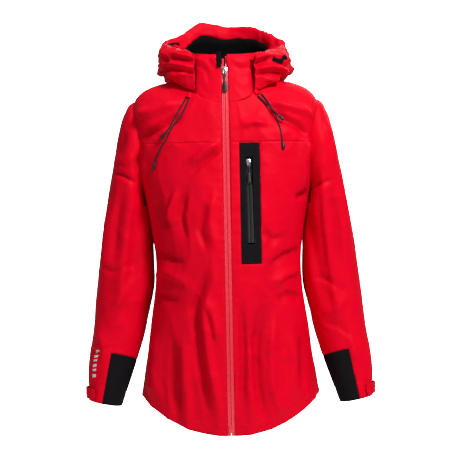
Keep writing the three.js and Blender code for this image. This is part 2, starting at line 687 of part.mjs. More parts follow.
const collarRings = closeStations(COLLAR, (a, b) => a.front - b.front).map(bodyRing);
const collar = cut(
  loft(offsetRings(collarRings, 0)),
  loft(extendRings(offsetRings(collarRings, -CLOTH), 25)),
  frontChannel,
);
const collarFront = common(collar, halfSpace(1, -WIDE, 0));
add("collar_left", common(collarFront, halfSpace(0, 0, COLLAR_SEAM - SEAM)), "shell");
add("collar_right", common(collarFront, halfSpace(0, SEAM - COLLAR_SEAM, 0)), "shell");
const collarMiddle = common(halfSpace(0, -COLLAR_SEAM, COLLAR_SEAM), halfSpace(1, -WIDE, 0));
add("collar_back", cut(collar, collarMiddle), "shell");
const liningGap = ZIP.tapeEdge + 1.2;
add(
  "collar_lining",
  cut(
    loft(offsetRings(collarRings, -CLOTH - SEAM)),
    loft(extendRings(offsetRings(collarRings, -CLOTH - SEAM - LINING), 25)),
    common(halfSpace(0, FLAP.left - 1, liningGap), halfSpace(1, -WIDE, 0)),
    torsoFilled(SEAM),
  ),
  "lining",
);

// The hang loop's two ends are sewn to the collar lining, and its gap takes a hook or a peg.
const loopHalf = LOOP.width / 2;
const loopPoints = [
  [-loopHalf, 0], [-loopHalf + 5, -0.9], [-loopHalf + 11, LOOP.drop], [0, LOOP.drop + 1],
  [loopHalf - 11, LOOP.drop], [loopHalf - 5, -0.9], [loopHalf, 0],
];
const loopOutline = [
  ...loopPoints.map(([x, out]) => [x, -out]),
  ...loopPoints.map(([x, out]) => [x, -out - LOOP.thickness]).reverse(),
];
const loopSection = (z) => loopOutline.map(([x, y]) => new THREE.Vector3(x, y, z));
const hangLoop = add("hang_loop", loft([loopSection(LOOP.band / 2), loopSection(-LOOP.band / 2)], "flat"), "lining");
const liningFace = COLLAR[1].back - CLOTH - LINING - SEAM;
hangLoop.position.set(0, liningFace - 3.6, LOOP.height);

// ---- Hood cords -----------------------------------------------------------

// Each cord leaves the tunnel at the foot of the hood's front edge, falls down the yoke and
// ends in a moulded tip. Points are about the middle of the neck.
const CORD = { radius: 1.5, sides: 8 };
const CORDS = {
  right_cord_short: {
    route: [
      [-74.7, -85.7, -38.8], [-77.3, -87.8, -43.5], [-80.0, -89.4, -48.2], [-82.8, -90.8, -52.8],
      [-85.6, -92.2, -57.4], [-88.4, -93.3, -62.1], [-91.1, -94.5, -66.8], [-93.7, -95.8, -71.5],
      [-96.2, -97.6, -76.3], [-98.7, -99.8, -81.1], [-101.2, -102.0, -85.9], [-103.7, -103.5, -90.8],
      [-106.6, -104.2, -95.7], [-109.8, -104.6, -100.0], [-113.2, -104.6, -103.6],
    ],
    tip: [-123.0, -102.4, -114.6],
  },
  right_cord_long: {
    route: [
      [-68.7, -87.7, -39.2], [-71.6, -90.4, -46.7], [-74.7, -93.0, -54.1], [-78.2, -95.0, -61.3],
      [-81.9, -96.7, -68.5], [-86.1, -98.5, -75.4], [-91.2, -99.6, -81.6], [-96.7, -100.5, -87.5],
      [-101.0, -101.0, -93.8], [-104.6, -101.8, -100.6], [-108.0, -102.6, -107.6], [-111.8, -102.4, -114.8],
      [-116.3, -101.4, -122.0], [-121.0, -100.2, -129.0], [-125.3, -98.6, -136.0], [-128.8, -96.4, -143.2],
      [-131.8, -94.3, -150.7], [-134.7, -92.1, -158.2],
    ],
    tip: [-139.2, -91.7, -172.6],
  },
  left_cord_short: {
    route: [
      [62.0, -87.4, -36.1], [64.7, -88.2, -38.8], [67.4, -88.9, -41.4], [70.1, -89.5, -44.0],
      [72.7, -90.7, -46.8], [75.2, -91.3, -49.5], [77.8, -92.8, -52.3], [80.4, -94.2, -55.1],
      [83.0, -95.7, -57.8], [85.6, -97.0, -60.5], [88.3, -97.9, -63.2], [90.9, -98.2, -65.8],
      [93.6, -98.4, -68.5], [96.3, -97.8, -71.2], [99.0, -97.3, -73.8],
    ],
    tip: [110.2, -99.0, -83.6],
  },
  left_cord_long: {
    route: [
      [68.6, -82.4, -32.0], [72.3, -84.5, -36.6], [75.9, -86.9, -41.4], [79.1, -88.7, -46.3],
      [82.1, -90.2, -51.4], [85.0, -91.7, -56.6], [87.9, -93.2, -61.7], [90.7, -94.4, -66.9],
      [93.4, -95.8, -72.2], [95.8, -97.2, -77.6], [97.9, -98.8, -83.1], [99.7, -100.1, -88.8],
      [101.2, -101.2, -94.5], [102.4, -102.3, -100.3], [103.6, -103.5, -106.1], [104.6, -104.6, -111.9],
      [105.6, -105.1, -117.7], [106.5, -105.1, -123.6],
    ],
    tip: [108.8, -107.7, -138.4],
  },
};
const TIP = { neck: 1.9, foot: 3.4 };
const TUNNEL = { width: 15, thickness: 6, length: 9 };

function tube(points) {
  const curve = new THREE.CatmullRomCurve3(points);
  const profile = new THREE.Shape(
    Array.from({ length: CORD.sides }, (_, i) => {
      const angle = (2 * Math.PI * i) / CORD.sides;
      return new THREE.Vector2(CORD.radius * Math.cos(angle), CORD.radius * Math.sin(angle));
    }),
  );
  const geometry = new THREE.ExtrudeGeometry(profile, { steps: points.length - 1, extrudePath: curve, bevelEnabled: false });
  geometry.deleteAttribute("uv");
  geometry.deleteAttribute("normal");
  return geometry;
}

// A round piece turned about the line between two points, with its radius at shares of that line.
function turned(from, to, profile, sides = 10) {
  const along = to.clone().sub(from).normalize();
  const aside = new THREE.Vector3(0, 1, 0).cross(along).normalize();
  const up = along.clone().cross(aside);
  return loft(
    profile.map(([share, radius]) =>
      Array.from({ length: sides }, (_, i) => {
        const angle = (2 * Math.PI * i) / sides;
        return from
          .clone()
          .lerp(to, share)
          .addScaledVector(aside, radius * Math.cos(angle))
          .addScaledVector(up, radius * Math.sin(angle));
      }),
    ),
  );
}

for (const [name, { route, tip }] of Object.entries(CORDS)) {
  const points = route.map((p) => new THREE.Vector3(...p));
  add(name, tube(points), "cord");
  const end = points.at(-1);
  const foot = new THREE.Vector3(...tip);
  const start = end.clone().addScaledVector(foot.clone().sub(end).normalize(), 2 * SEAM);
  add(`${name}_tip`, turned(start, foot, [[0, TIP.neck], [0.25, TIP.neck + 0.5], [0.9, TIP.foot], [1, TIP.foot - 0.8]]), "cord");
}

// The fabric tunnel that both cords of one side come out of.
for (const name of ["left", "right"]) {
  const starts = ["short", "long"].map((kind) => CORDS[`${name}_cord_${kind}`].route);
  const mouth = starts.map(([p]) => new THREE.Vector3(...p)).reduce((a, b) => a.add(b)).multiplyScalar(0.5);
  const next = starts.map(([, p]) => new THREE.Vector3(...p)).reduce((a, b) => a.add(b)).multiplyScalar(0.5);
  const back = mouth.clone().sub(next).normalize();
  const aside = new THREE.Vector3(...starts[0][0]).sub(new THREE.Vector3(...starts[1][0]));
  aside.addScaledVector(back, -aside.dot(back)).normalize();
  const out = aside.clone().cross(back);
  const section = (along) =>
    [[-1, -1], [1, -1], [1, 1], [-1, 1]].map(([a, b]) =>
      mouth
        .clone()
        .addScaledVector(back, along)
        .addScaledVector(aside, (a * TUNNEL.width) / 2)
        .addScaledVector(out, (b * TUNNEL.thickness) / 2),
    );
  const tunnel = loft([section(1.2), section(TUNNEL.length)], "flat");
  const neighbours = [torsoFilled(SEAM), loft(offsetRings(collarRings, SEAM)), hoodSolid(-2 * SEAM, 1)];
  add(`${name}_cord_tunnel`, cut(tunnel, ...neighbours), "shell");
}

// ---- Marks on the sleeves -------------------------------------------------

const MARK = { near: 0.5, far: 1 };
add(
  "right_sleeve_strip",
  plate((degrees, place, offset) => sleevePoint(-1, place, -degrees, offset), [38, 50, 2], [7.55, 8.3, 2], MARK.near, MARK.far),
  "print",
);
add(
  "left_sleeve_dash",
  plate((degrees, place, offset) => sleevePoint(1, place, -degrees, offset), [24, 30, 1], [3.75, 4.1, 2], MARK.near, MARK.far),
  "print",
);

// ---- Hood -----------------------------------------------------------------

// A closed outline of the rolled hood at one angle, shrunk by a wall, from its inner edge over
// the floor, round the bulge and up to the rim.
function hoodSection(station, turn, wall, inner, lift) {
  const foot = (degrees) => ringPoint(COLLAR[2], 180 - turn * degrees).setZ(0);
  const base = foot(station.angle);
  const along = foot(station.angle + 1).sub(foot(station.angle - 1));
  const out = new THREE.Vector3(turn * along.y, -turn * along.x, 0).normalize();
  if (out.dot(base) < 0) out.negate();
  const floorAt = (reach) => {
    const place = base.clone().addScaledVector(out, reach);
    return torsoTop(place.x, place.y) + 1.7 + wall;
  };
  const bulge = station.bulge - wall;
  const rim = station.rimReach - wall;
  const outline = [
    [Math.min(inner, 1), floorAt(2)],
    [2, floorAt(2)],
    [station.floor * 0.5, floorAt(station.floor * 0.5)],
    [station.floor, floorAt(station.floor)],
    [bulge * 0.94, Math.max(station.middle - 18, floorAt(station.floor) + 4)],
    [bulge, Math.max(station.middle, floorAt(station.floor) + 9)],
    [(bulge + rim) / 2 + 4, (station.middle + station.rim) / 2 + 8],
    [rim, station.rim],
    [rim - 1, station.rim + lift],
    [Math.min(inner, rim - 6), station.rim + lift - 1],
  ];
  return outline.map(([reach, height]) => base.clone().addScaledVector(out, reach).setZ(height));
}

function hoodSolid(wall, inner, lift = 1, used = HOOD) {
  const stations = [...used.slice(1).reverse().map((s) => [s, -1]), ...used.map((s) => [s, 1])];
  const sections = stations.map(([station, turn]) => hoodSection(station, turn, wall, inner, lift));
  return loft(sections, "flat");
}

const hoodClear = [torsoFilled(0.5), loft(offsetRings(collarRings, 0.5))];
const HOOD_LIFT = 40; // the hollows run this far out of the open top
const liningStart = HOOD_WALL + SEAM;
const hollowStations = [...HOOD, { ...HOOD.at(-1), angle: HOOD.at(-1).angle + 6 }];
const hoodSkin = cut(hoodSolid(0, 2), hoodSolid(HOOD_WALL, -60, HOOD_LIFT, hollowStations), ...hoodClear);
const hoodInner = cut(
  hoodSolid(liningStart, 2, 1, HOOD.slice(0, -1)),
  hoodSolid(liningStart + 2, -60, HOOD_LIFT, hollowStations),
  ...hoodClear,
);
add("hood_shell", hoodSkin, "shell");
add("hood_lining", hoodInner, "lining");

export default jacket;
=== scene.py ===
import math

import bmesh
import bpy
import numpy as np
from mathutils import Matrix, Vector, noise
from mathutils.bvhtree import BVHTree


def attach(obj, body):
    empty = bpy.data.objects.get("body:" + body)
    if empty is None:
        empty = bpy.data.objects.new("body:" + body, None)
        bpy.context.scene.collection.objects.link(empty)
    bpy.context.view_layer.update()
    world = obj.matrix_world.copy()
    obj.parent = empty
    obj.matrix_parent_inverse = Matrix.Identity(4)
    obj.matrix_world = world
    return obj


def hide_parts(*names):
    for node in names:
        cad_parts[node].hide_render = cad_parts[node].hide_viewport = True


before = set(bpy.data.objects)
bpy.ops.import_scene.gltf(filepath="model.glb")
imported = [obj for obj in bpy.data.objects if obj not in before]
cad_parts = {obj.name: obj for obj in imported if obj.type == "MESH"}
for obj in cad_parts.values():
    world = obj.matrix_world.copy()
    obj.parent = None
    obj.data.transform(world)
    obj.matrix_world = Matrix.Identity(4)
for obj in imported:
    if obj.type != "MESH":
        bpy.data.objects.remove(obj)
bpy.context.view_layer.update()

bl_info = {
    "name": "Hardshell Jacket",
    "version": (1, 0, 0),
    "blender": (4, 5, 0),
    "location": "View3D > Sidebar > Jacket",
    "description": "Builds a women's hardshell jacket with its zips, hood cords and cuff tabs",
    "category": "Object",
}

# ---- Sizes, in millimetres about the middle of the neck --------------------

MM = 0.001
NECK = np.array([0.0, -51.0, -14.0])  # the middle of the neck in the jacket's frame

FRONT_RADIUS, FRONT_HEIGHT, FRONT_DEPTH = 2000.0, -454.0, -140.0  # the centre front is one arc

# Half width, depth of the back, squareness of the front and back, height at front, side and rear.
TORSO = [
    (76, 62, 2.8, 2.1, -47, 2, 0), (104, 76, 2.7, 2.2, -70, 0, -18), (134, 87, 2.6, 2.3, -92, -6, -40),
    (164, 95, 2.6, 2.4, -112, -21, -66), (181, 100, 2.6, 2.5, -134, -50, -95), (179, 104, 2.5, 2.5, -165, -110, -140),
    (170, 107, 2.5, 2.5, -205, -175, -190), (157, 105, 2.5, 2.5, -245, -235, -240), (146, 97, 2.4, 2.4, -300, -300, -300),
    (141, 90, 2.4, 2.4, -350, -347, -350), (143, 91, 2.3, 2.3, -410, -400, -410), (153, 99, 2.3, 2.3, -490, -470, -490),
    (162, 108, 2.2, 2.3, -575, -540, -575), (173, 117, 2.2, 2.3, -675, -605, -668),
]
COLLAR = [(72, 62, 2.8, 2.1, 45, 52, 58), (74, 63, 2.8, 2.1, 0, 28, 30), (76, 62, 2.8, 2.1, -46.4, 2.6, 0.6)]
COLLAR_SEAM = 56.0
CHANNEL = 6.8  # half width of the gap that the front zip fills
YOKE_SEAM, SIDE_SEAM = -124.0, 8.0
POCKET = (25.0, 63.0, -354.0, -126.0)  # left, right, bottom, top
POCKET_SLOT = (37.0, 49.0, -317.0, -153.0)

# Outer x and z, inner x and z, half depth and the depth of the centre.
SLEEVE = [
    (146, -24, 128, -192, 60, 6), (183, -39, 150, -203, 67, 6), (195, -57, 156, -211, 70, 6), (205, -84, 160, -218, 71, 7),
    (222, -165, 159, -243, 70, 9), (243, -285, 154, -302, 67, 13), (257, -395, 152, -392, 65, 14),
    (266, -478, 161, -468, 61, 8), (276, -548, 179, -533, 54, -2), (275, -612, 211, -625, 44, -14),
]
SLEEVE_SQUARE, CUFF = 2.2, 9
INSERT_LENGTH, INSERT_EDGE, CUFF_BAND = 92.0, 4.0, 26.0

# Angle from the back, reach of floor and bulge, height of bulge, height and reach of the rim.
HOOD = [
    (0, 30, 66, -14, 100, 38), (25, 32, 66, -8, 106, 38), (50, 36, 64, 6, 88, 36), (75, 38, 58, 26, 76, 38),
    (95, 36, 53, 30, 66, 38), (115, 26, 36, 22, 58, 22), (133, 9, 15, 8, 50, 9), (142, 3, 6, 2, 46, 4),
]
HOOD_RIM_LIFT = [(-142, 0), (-115, 2), (-95, 2), (-75, 6), (-50, 14), (-25, 22), (0, 20), (25, 12), (50, 17), (75, 0), (95, -5),
    (142, 0)]
HOOD_UNDER_LIFT = [(-142, 0), (-120, 8), (-95, 15), (-70, 12), (-40, 0), (40, 0), (75, 6), (95, 8), (120, 5), (142, 0)]

ZIP_TOP, ZIP_BOTTOM, SLIDER_HEIGHT = 41.0, -652.0, 14.0
POCKET_CENTRE, POCKET_TOP, POCKET_BOTTOM, POCKET_SLIDER = 43.0, -155.0, -314.0, -163.0
POCKET_TURN, POCKET_REFERENCE, POCKET_DROP, POCKET_FACE = 0.11943, -235.0, -1.4, -125.96

# Folds pressed into the cloth: height, width and the line they run along, as x and z.
TORSO_FOLDS = [
    (2.6, 9, [(-76.5, -44.1), (-140.9, -66.7), (-186.2, -68.6)]),
    (-3.0, 7, [(-80.7, -66.7), (-141.6, -100.6), (-179.6, -119.4)]),
    (2.4, 8, [(-92.2, -78.0), (-141.9, -119.4), (-165.2, -157.1)]),
    (2.2, 8, [(78.0, -47.8), (141.7, -66.7), (175.3, -81.7)]),
    (-2.4, 7, [(85.1, -66.7), (137.4, -93.0), (163.2, -123.2)]),
    (-5.0, 6, [(-185.3, -119.4), (-178.4, -153.3), (-177.1, -187.2)]),
    (3.0, 7, [(-168.5, -128.8), (-159.8, -166.5), (-162.3, -204.2)]),
    (2.2, 8, [(-6.3, -119.4), (-38.7, -138.3), (-76.9, -166.5)]),
    (-2.4, 6, [(-8.5, -140.1), (-37.1, -157.1), (-67.8, -183.5)]),
    (1.8, 7, [(28.1, -96.8), (50.8, -89.3), (80.9, -93.0)]),
    (-3.2, 7, [(-134.5, -228.7), (-125.7, -258.8), (-111.1, -285.2)]),
    (2.6, 7, [(-94.6, -209.9), (-108.5, -247.5), (-111.0, -281.4)]),
    (-2.4, 7, [(-75.9, -217.4), (-88.0, -260.7), (-77.6, -307.8)]),
    (-4.0, 9, [(-40.9, -360.6), (-68.6, -432.2), (-59.2, -533.9), (-42.4, -643.2)]),
    (3.4, 9, [(-20.3, -368.1), (-48.1, -443.5), (-38.5, -533.9), (-18.0, -647.0)]),
    (2.6, 7, [(-42.0, -417.1), (-29.5, -458.6), (-22.8, -500.0)]),
    (-4.0, 9, [(65.2, -432.2), (50.5, -511.3), (52.8, -590.4), (66.8, -647.0)]),
    (3.4, 9, [(85.7, -443.5), (73.0, -515.1), (75.4, -590.4), (91.4, -643.2)]),
    (-2.8, 7, [(22.0, -420.9), (27.8, -515.1), (20.1, -628.1)]),
    (-3.4, 7, [(180.9, -85.5), (166.4, -157.1), (165.1, -224.9)]),
    (3.0, 6, [(158.0, -100.6), (145.5, -166.5), (146.4, -217.4)]),
    (-3.4, 5, [(131.0, -232.5), (150.0, -224.9), (166.9, -226.8)]),
    (-3.0, 7, [(-166.9, -349.3), (-130.8, -330.4), (-82.1, -349.3)]),
    (2.6, 8, [(-165.7, -387.0), (-118.3, -368.1), (-79.1, -390.7)]),
    (-2.4, 7, [(-168.4, -428.4), (-128.5, -409.6), (-94.8, -420.9)]),
    (-3.0, 7, [(140.6, -326.7), (106.5, -338.0), (76.0, -356.8)]),
    (2.6, 8, [(139.8, -368.1), (109.5, -375.7), (79.0, -398.3)]),
    (-2.2, 7, [(140.7, -420.9), (112.7, -409.6), (89.9, -420.9)]),
    (3.0, 13, [(-133.5, -477.4), (-142.4, -549.0), (-137.9, -613.0)]),
    (-3.0, 10, [(-107.3, -488.7), (-108.9, -571.6), (-100.8, -643.2)]),
    (2.6, 10, [(-84.9, -496.2), (-82.7, -581.0), (-76.5, -654.5)]),
    (3.0, 12, [(111.4, -477.4), (115.7, -549.0), (112.6, -616.8)]),
    (-2.4, 9, [(135.7, -488.7), (138.4, -545.2), (137.5, -594.2)]),
    (2.4, 10, [(32.3, -477.4), (36.2, -571.6), (36.4, -662.0)]),
    (-2.2, 6, [(65.9, -289.0), (84.4, -307.8), (110.9, -300.3)]),
    (-2.0, 6, [(-40.6, -241.9), (-54.6, -289.0), (-40.3, -330.4)]),
    (2.0, 8, [(-23.1, -213.6), (-31.8, -273.9), (-21.4, -326.7)]),
]
RIGHT_SLEEVE_FOLDS = [
    (-3.4, 4, [(-225.8, -170.3), (-199.6, -179.7), (-169.8, -198.6)]),
    (2.6, 9, [(-221.7, -153.3), (-195.3, -153.3), (-172.6, -145.8)]),
    (4.2, 9, [(-178.4, -153.3), (-185.7, -241.9), (-199.0, -349.3), (-212.4, -462.3)]),
    (-3.2, 8, [(-202.1, -213.6), (-214.6, -279.6), (-221.6, -349.3)]),
    (-3.8, 8, [(-162.7, -224.9), (-173.7, -307.8), (-184.7, -392.6)]),
    (3.4, 8, [(-226.8, -224.9), (-235.9, -307.8), (-245.2, -405.8)]),
    (-2.2, 5, [(-246.1, -349.3), (-221.8, -364.3), (-187.7, -349.3)]),
    (2.0, 8, [(-184.4, -379.4), (-207.8, -417.1), (-242.2, -443.5)]),
    (-2.0, 6, [(-192.8, -420.9), (-219.8, -454.8), (-250.2, -469.9)]),
    (2.4, 7, [(-257.9, -477.4), (-243.3, -507.5), (-247.7, -541.4)]),
    (-2.4, 5, [(-273.6, -515.1), (-254.9, -518.8), (-232.0, -507.5)]),
    (-2.6, 7, [(-190.4, -93.0), (-204.2, -127.0), (-210.6, -164.6)]),
]
LEFT_SLEEVE_FOLDS = [
    (-3.2, 4, [(148.3, -217.4), (173.0, -206.1), (203.3, -194.8)]),
    (4.2, 9, [(181.1, -175.9), (186.9, -270.1), (198.0, -383.2), (207.5, -477.4)]),
    (-3.2, 8, [(201.1, -213.6), (209.5, -270.1), (215.3, -360.6)]),
    (-3.8, 8, [(159.1, -243.8), (167.0, -326.7), (180.3, -420.9)]),
    (3.2, 8, [(219.1, -157.1), (226.6, -258.8), (234.4, -349.3)]),
    (-2.2, 5, [(165.9, -383.2), (192.2, -390.7), (221.8, -417.1)]),
    (2.0, 8, [(229.3, -420.9), (210.0, -443.5), (179.6, -458.6)]),
    (-1.8, 6, [(179.3, -473.6), (205.6, -477.4), (239.0, -503.8)]),
    (2.4, 7, [(228.2, -477.4), (235.1, -511.3), (242.0, -545.2)]),
    (2.6, 8, [(190.4, -78.0), (201.0, -119.4), (207.6, -168.4)]),
]
HOOD_FOLDS = [
    (5.0, 5, [(-120.2, 33.2), (-90.2, 27.5), (-58.3, 20.0)]),
    (-5.5, 4, [(-118.6, 20.0), (-86.7, 14.3), (-56.7, 6.8)]),
    (5.0, 5, [(-117.0, 6.8), (-90.6, 6.8), (-71.6, 16.2)]),
    (-5.0, 4, [(-108.8, 42.6), (-82.5, 37.0), (-60.0, 31.3)]),
    (4.0, 4, [(-101.1, 50.1), (-74.9, 42.6), (-56.1, 38.8)]),
    (-4.0, 4, [(-119.9, 50.1), (-112.7, 35.1), (-120.5, 20.0)]),
    (-5.5, 4, [(51.0, 21.9), (68.1, 27.5), (87.1, 37.0)]),
    (5.0, 5, [(51.2, 31.3), (72.0, 38.8), (94.7, 42.6)]),
    (5.0, 5, [(52.7, 12.5), (86.8, 20.0), (124.4, 16.2)]),
    (-5.5, 4, [(54.4, 3.0), (90.3, 6.8), (127.9, 4.9)]),
    (4.6, 5, [(71.2, -4.5), (97.6, -4.5), (127.7, -6.4)]),
    (-3.6, 4, [(105.8, 31.3), (120.7, 20.0), (131.8, 12.5)]),
]

# Black patches laid on the hood: name, route across x and z, and width; each is found by looking from one place
PATCHES_SEEN_FROM = (4.5, -3059.0, -299.5)
HOOD_PATCHES = [
    ("hood_adjuster_strap", [(-110.2, 75.1), (-98.6, 70.2), (-91.0, 59.5), (-79.5, 48.8)], 9.0),
    ("hood_adjuster_lock", [(-104.4, 74.1), (-94.6, 75.7), (-86.9, 73.1)], 8.0),
    ("hood_brim_binding", [(93.9, 44.9), (107.5, 38.0), (125.1, 40.9)], 11.0),
]

# Each hood cord's route, then the far end of its tip.
CORDS = {
    "right_cord_short": [
        (-74.7, -85.7, -38.8), (-77.3, -87.8, -43.5), (-80.0, -89.4, -48.2), (-82.8, -90.8, -52.8),
        (-85.6, -92.2, -57.4), (-88.4, -93.3, -62.1), (-91.1, -94.5, -66.8), (-93.7, -95.8, -71.5),
        (-96.2, -97.6, -76.3), (-98.7, -99.8, -81.1), (-101.2, -102.0, -85.9), (-103.7, -103.5, -90.8),
        (-106.6, -104.2, -95.7), (-109.8, -104.6, -100.0), (-113.2, -104.6, -103.6),
        (-123.0, -102.4, -114.6),
    ],
    "right_cord_long": [
        (-68.7, -87.7, -39.2), (-71.6, -90.4, -46.7), (-74.7, -93.0, -54.1), (-78.2, -95.0, -61.3),
        (-81.9, -96.7, -68.5), (-86.1, -98.5, -75.4), (-91.2, -99.6, -81.6), (-96.7, -100.5, -87.5),
        (-101.0, -101.0, -93.8), (-104.6, -101.8, -100.6), (-108.0, -102.6, -107.6), (-111.8, -102.4, -114.8),
        (-116.3, -101.4, -122.0), (-121.0, -100.2, -129.0), (-125.3, -98.6, -136.0), (-128.8, -96.4, -143.2),
        (-131.8, -94.3, -150.7), (-134.7, -92.1, -158.2),
        (-139.2, -91.7, -172.6),
    ],
    "left_cord_short": [
        (62.0, -87.4, -36.1), (64.7, -88.2, -38.8), (67.4, -88.9, -41.4), (70.1, -89.5, -44.0),
        (72.7, -90.7, -46.8), (75.2, -91.3, -49.5), (77.8, -92.8, -52.3), (80.4, -94.2, -55.1),
        (83.0, -95.7, -57.8), (85.6, -97.0, -60.5), (88.3, -97.9, -63.2), (90.9, -98.2, -65.8),
        (93.6, -98.4, -68.5), (96.3, -97.8, -71.2), (99.0, -97.3, -73.8),
        (110.2, -99.0, -83.6),
    ],
    "left_cord_long": [
        (68.6, -82.4, -32.0), (72.3, -84.5, -36.6), (75.9, -86.9, -41.4), (79.1, -88.7, -46.3),
        (82.1, -90.2, -51.4), (85.0, -91.7, -56.6), (87.9, -93.2, -61.7), (90.7, -94.4, -66.9),
        (93.4, -95.8, -72.2), (95.8, -97.2, -77.6), (97.9, -98.8, -83.1), (99.7, -100.1, -88.8),
        (101.2, -101.2, -94.5), (102.4, -102.3, -100.3), (103.6, -103.5, -106.1), (104.6, -104.6, -111.9),
        (105.6, -105.1, -117.7), (106.5, -105.1, -123.6),
        (108.8, -107.7, -138.4),
    ],
}


# ---- Surfaces ---------------------------------------------------------------

def smooth_rows(table, places):
    """Rows of a table at fractional places, on a smooth curve through them."""
    table = np.asarray(table, float)
    last = len(table) - 1
    low = np.clip(np.floor(places).astype(int), 0, last - 1)
    t = (places - low)[..., None]
    a, b, c, d = table[np.maximum(low - 1, 0)], table[low], table[low + 1], table[np.minimum(low + 2, last)]
    return 0.5 * (2 * b + (c - a) * t + (2 * a - 5 * b + 4 * c - d) * t ** 2 + (3 * b - a - 3 * c + d) * t ** 3)


def signed_power(value, exponent):
    return np.sign(value) * np.abs(value) ** exponent


def step(value, start, end):
    t = np.clip((value - start) / (end - start), 0, 1)
    return t * t * (3 - 2 * t)


def front_depth(z):
    return FRONT_DEPTH + FRONT_RADIUS - np.sqrt(FRONT_RADIUS ** 2 - (z - FRONT_HEIGHT) ** 2)


def ring_point(table, place, degrees, offset=0.0):
    """A point on the torso or the collar, at a place in its table and an angle from the front."""
    half, back, square, square_back, front, side, rear = smooth_rows(table, place).T
    half, back = half + offset, back + offset
    angle = np.radians(degrees)
    ahead, aside = np.cos(angle), np.sin(angle)
    exponent = 2 / np.where(ahead > 0, square, square_back)
    depth = np.where(ahead > 0, offset - front_depth(front), back)
    height = np.where(ahead > 0, front, rear) * ahead ** 2 + side * aside ** 2
    return np.stack([half * signed_power(aside, exponent), -depth * signed_power(ahead, exponent), height], axis=1)


def sleeve_point(side, place, degrees, offset=0.0):
    """A point on a sleeve: degrees run from its outer edge towards the back."""
    out_x, out_z, in_x, in_z, deep, centre = smooth_rows(SLEEVE, place).T
    angle = np.radians(degrees)
    reach = np.hypot(out_x - in_x, out_z - in_z) / 2
    wide = signed_power(np.cos(angle), 2 / SLEEVE_SQUARE) * (reach + offset) / (2 * reach)
    thick = signed_power(np.sin(angle), 2 / SLEEVE_SQUARE)
    x = (out_x + in_x) / 2 + wide * (out_x - in_x)
    z = (out_z + in_z) / 2 + wide * (out_z - in_z)
    return np.stack([side * x, centre + thick * (deep + offset), z], axis=1)


def even_places(point_at, low, high, count):
    """Places between two limits that lie evenly along the surface."""
    fine = np.linspace(low, high, 400)
    points = point_at(fine)
    run = np.concatenate([[0], np.cumsum(np.linalg.norm(np.diff(points, axis=0), axis=1))])
    return np.interp(np.linspace(0, run[-1], count), run, fine)


def track_point(across, out, height):
    """A point of the front zip's track: across it, out of the cloth, and at a height."""
    angle = np.arcsin((height - FRONT_HEIGHT) / FRONT_RADIUS)
    reach = FRONT_RADIUS + out
    zero = np.zeros_like(angle + across)
    return np.stack([across + zero, FRONT_DEPTH + FRONT_RADIUS - reach * np.cos(angle) + zero,
        FRONT_HEIGHT + reach * np.sin(angle) + zero], axis=-1)


def pocket_track_point(across, out, height):
    """A point of the chest pocket's track, which is turned a little to face its side of the chest."""
    bow = FRONT_RADIUS - math.sqrt(FRONT_RADIUS ** 2 - (POCKET_REFERENCE - FRONT_HEIGHT) ** 2)
    local = track_point(across, out, height) - np.array([0, FRONT_DEPTH, 0])
    c, s = math.cos(POCKET_TURN), math.sin(POCKET_TURN)
    origin = np.array([POCKET_CENTRE + bow * s, POCKET_FACE - bow * c, 0])
    turned = np.stack([c * local[..., 0] - s * local[..., 1], s * local[..., 0] + c * local[..., 1], local[..., 2]], axis=-1)
    return turned + origin


def along_line(points, line):
    """For points in a plane: the distance to a line of points, the share along it, and the side."""
    line = np.asarray(line, float)
    run = np.concatenate([[0], np.cumsum(np.hypot(*np.diff(line, axis=0).T))])
    best, share, side = np.full(len(points), 1e9), np.zeros(len(points)), np.ones(len(points))
    for k in range(len(line) - 1):
        a, ab = line[k], line[k + 1] - line[k]
        t = np.clip(((points - a) @ ab) / (ab @ ab), 0, 1)
        away = points - (a + t[:, None] * ab)
        distance = np.hypot(away[:, 0], away[:, 1])
        nearer = distance < best
        best[nearer] = distance[nearer]
        share[nearer] = ((run[k] + t * (run[k + 1] - run[k])) / run[-1])[nearer]
        side[nearer] = np.sign(ab[0] * away[:, 1] - ab[1] * away[:, 0])[nearer]
    return best, share, side


def folds(points, normals, lines):
    """How far pressed folds lift or sink the front of the cloth."""
    facing = step(-normals[:, 1], 0.05, 0.45)
    lift = np.zeros(len(points))
    for k, (height, width, line) in enumerate(lines):
        distance, share, side = along_line(points[:, [0, 2]], line)
        lean = 1 + (0.45 if k % 2 else -0.3) * side
        taper = step(share, -0.08, 0.3) * step(-share, -1.08, -0.7)
        lift += height * np.exp(-(distance / (width * lean)) ** 2) * taper
    return lift * facing


def wander(points, size, seed, stretch=(1, 1, 1)):
    """Smooth seeded noise over a set of points, about -1 to 1."""
    scaled = points / (np.array(stretch) * size) + np.array([seed * 7.31, seed * 3.17, -seed * 5.83])
    return np.array([noise.noise(Vector(p)) for p in scaled])


def crumple(points, strength, seed):
    """The soft waves and sharp creases that crisp cloth holds by itself."""
    hang = 4.2 * wander(points, 62, seed, (1, 1, 2.6))
    soft = 2.2 * wander(points, 30, seed + 1, (1, 1, 1.5))
    sharp = np.abs(wander(points, 46, seed + 2, (1, 1, 1.8)))
    sharper = np.abs(wander(points, 24, seed + 3, (1.3, 1.3, 1)))
    return strength * (hang + soft + 2.6 * np.exp(-sharp * 9) + 0.9 * np.exp(-sharper * 8) - 0.8)


def groove(distance, depth=1.1, width=1.5):
    return -depth * np.exp(-(distance / width) ** 2)


# ---- Meshes -----------------------------------------------------------------

def coordinates(bm):
    return np.array([v.co[:] for v in bm.verts])


def put(bm, points):
    for vertex, point in zip(bm.verts, points):
        vertex.co = point


def normals_of(bm):
    bm.normal_update()
    return np.array([v.normal[:] for v in bm.verts])


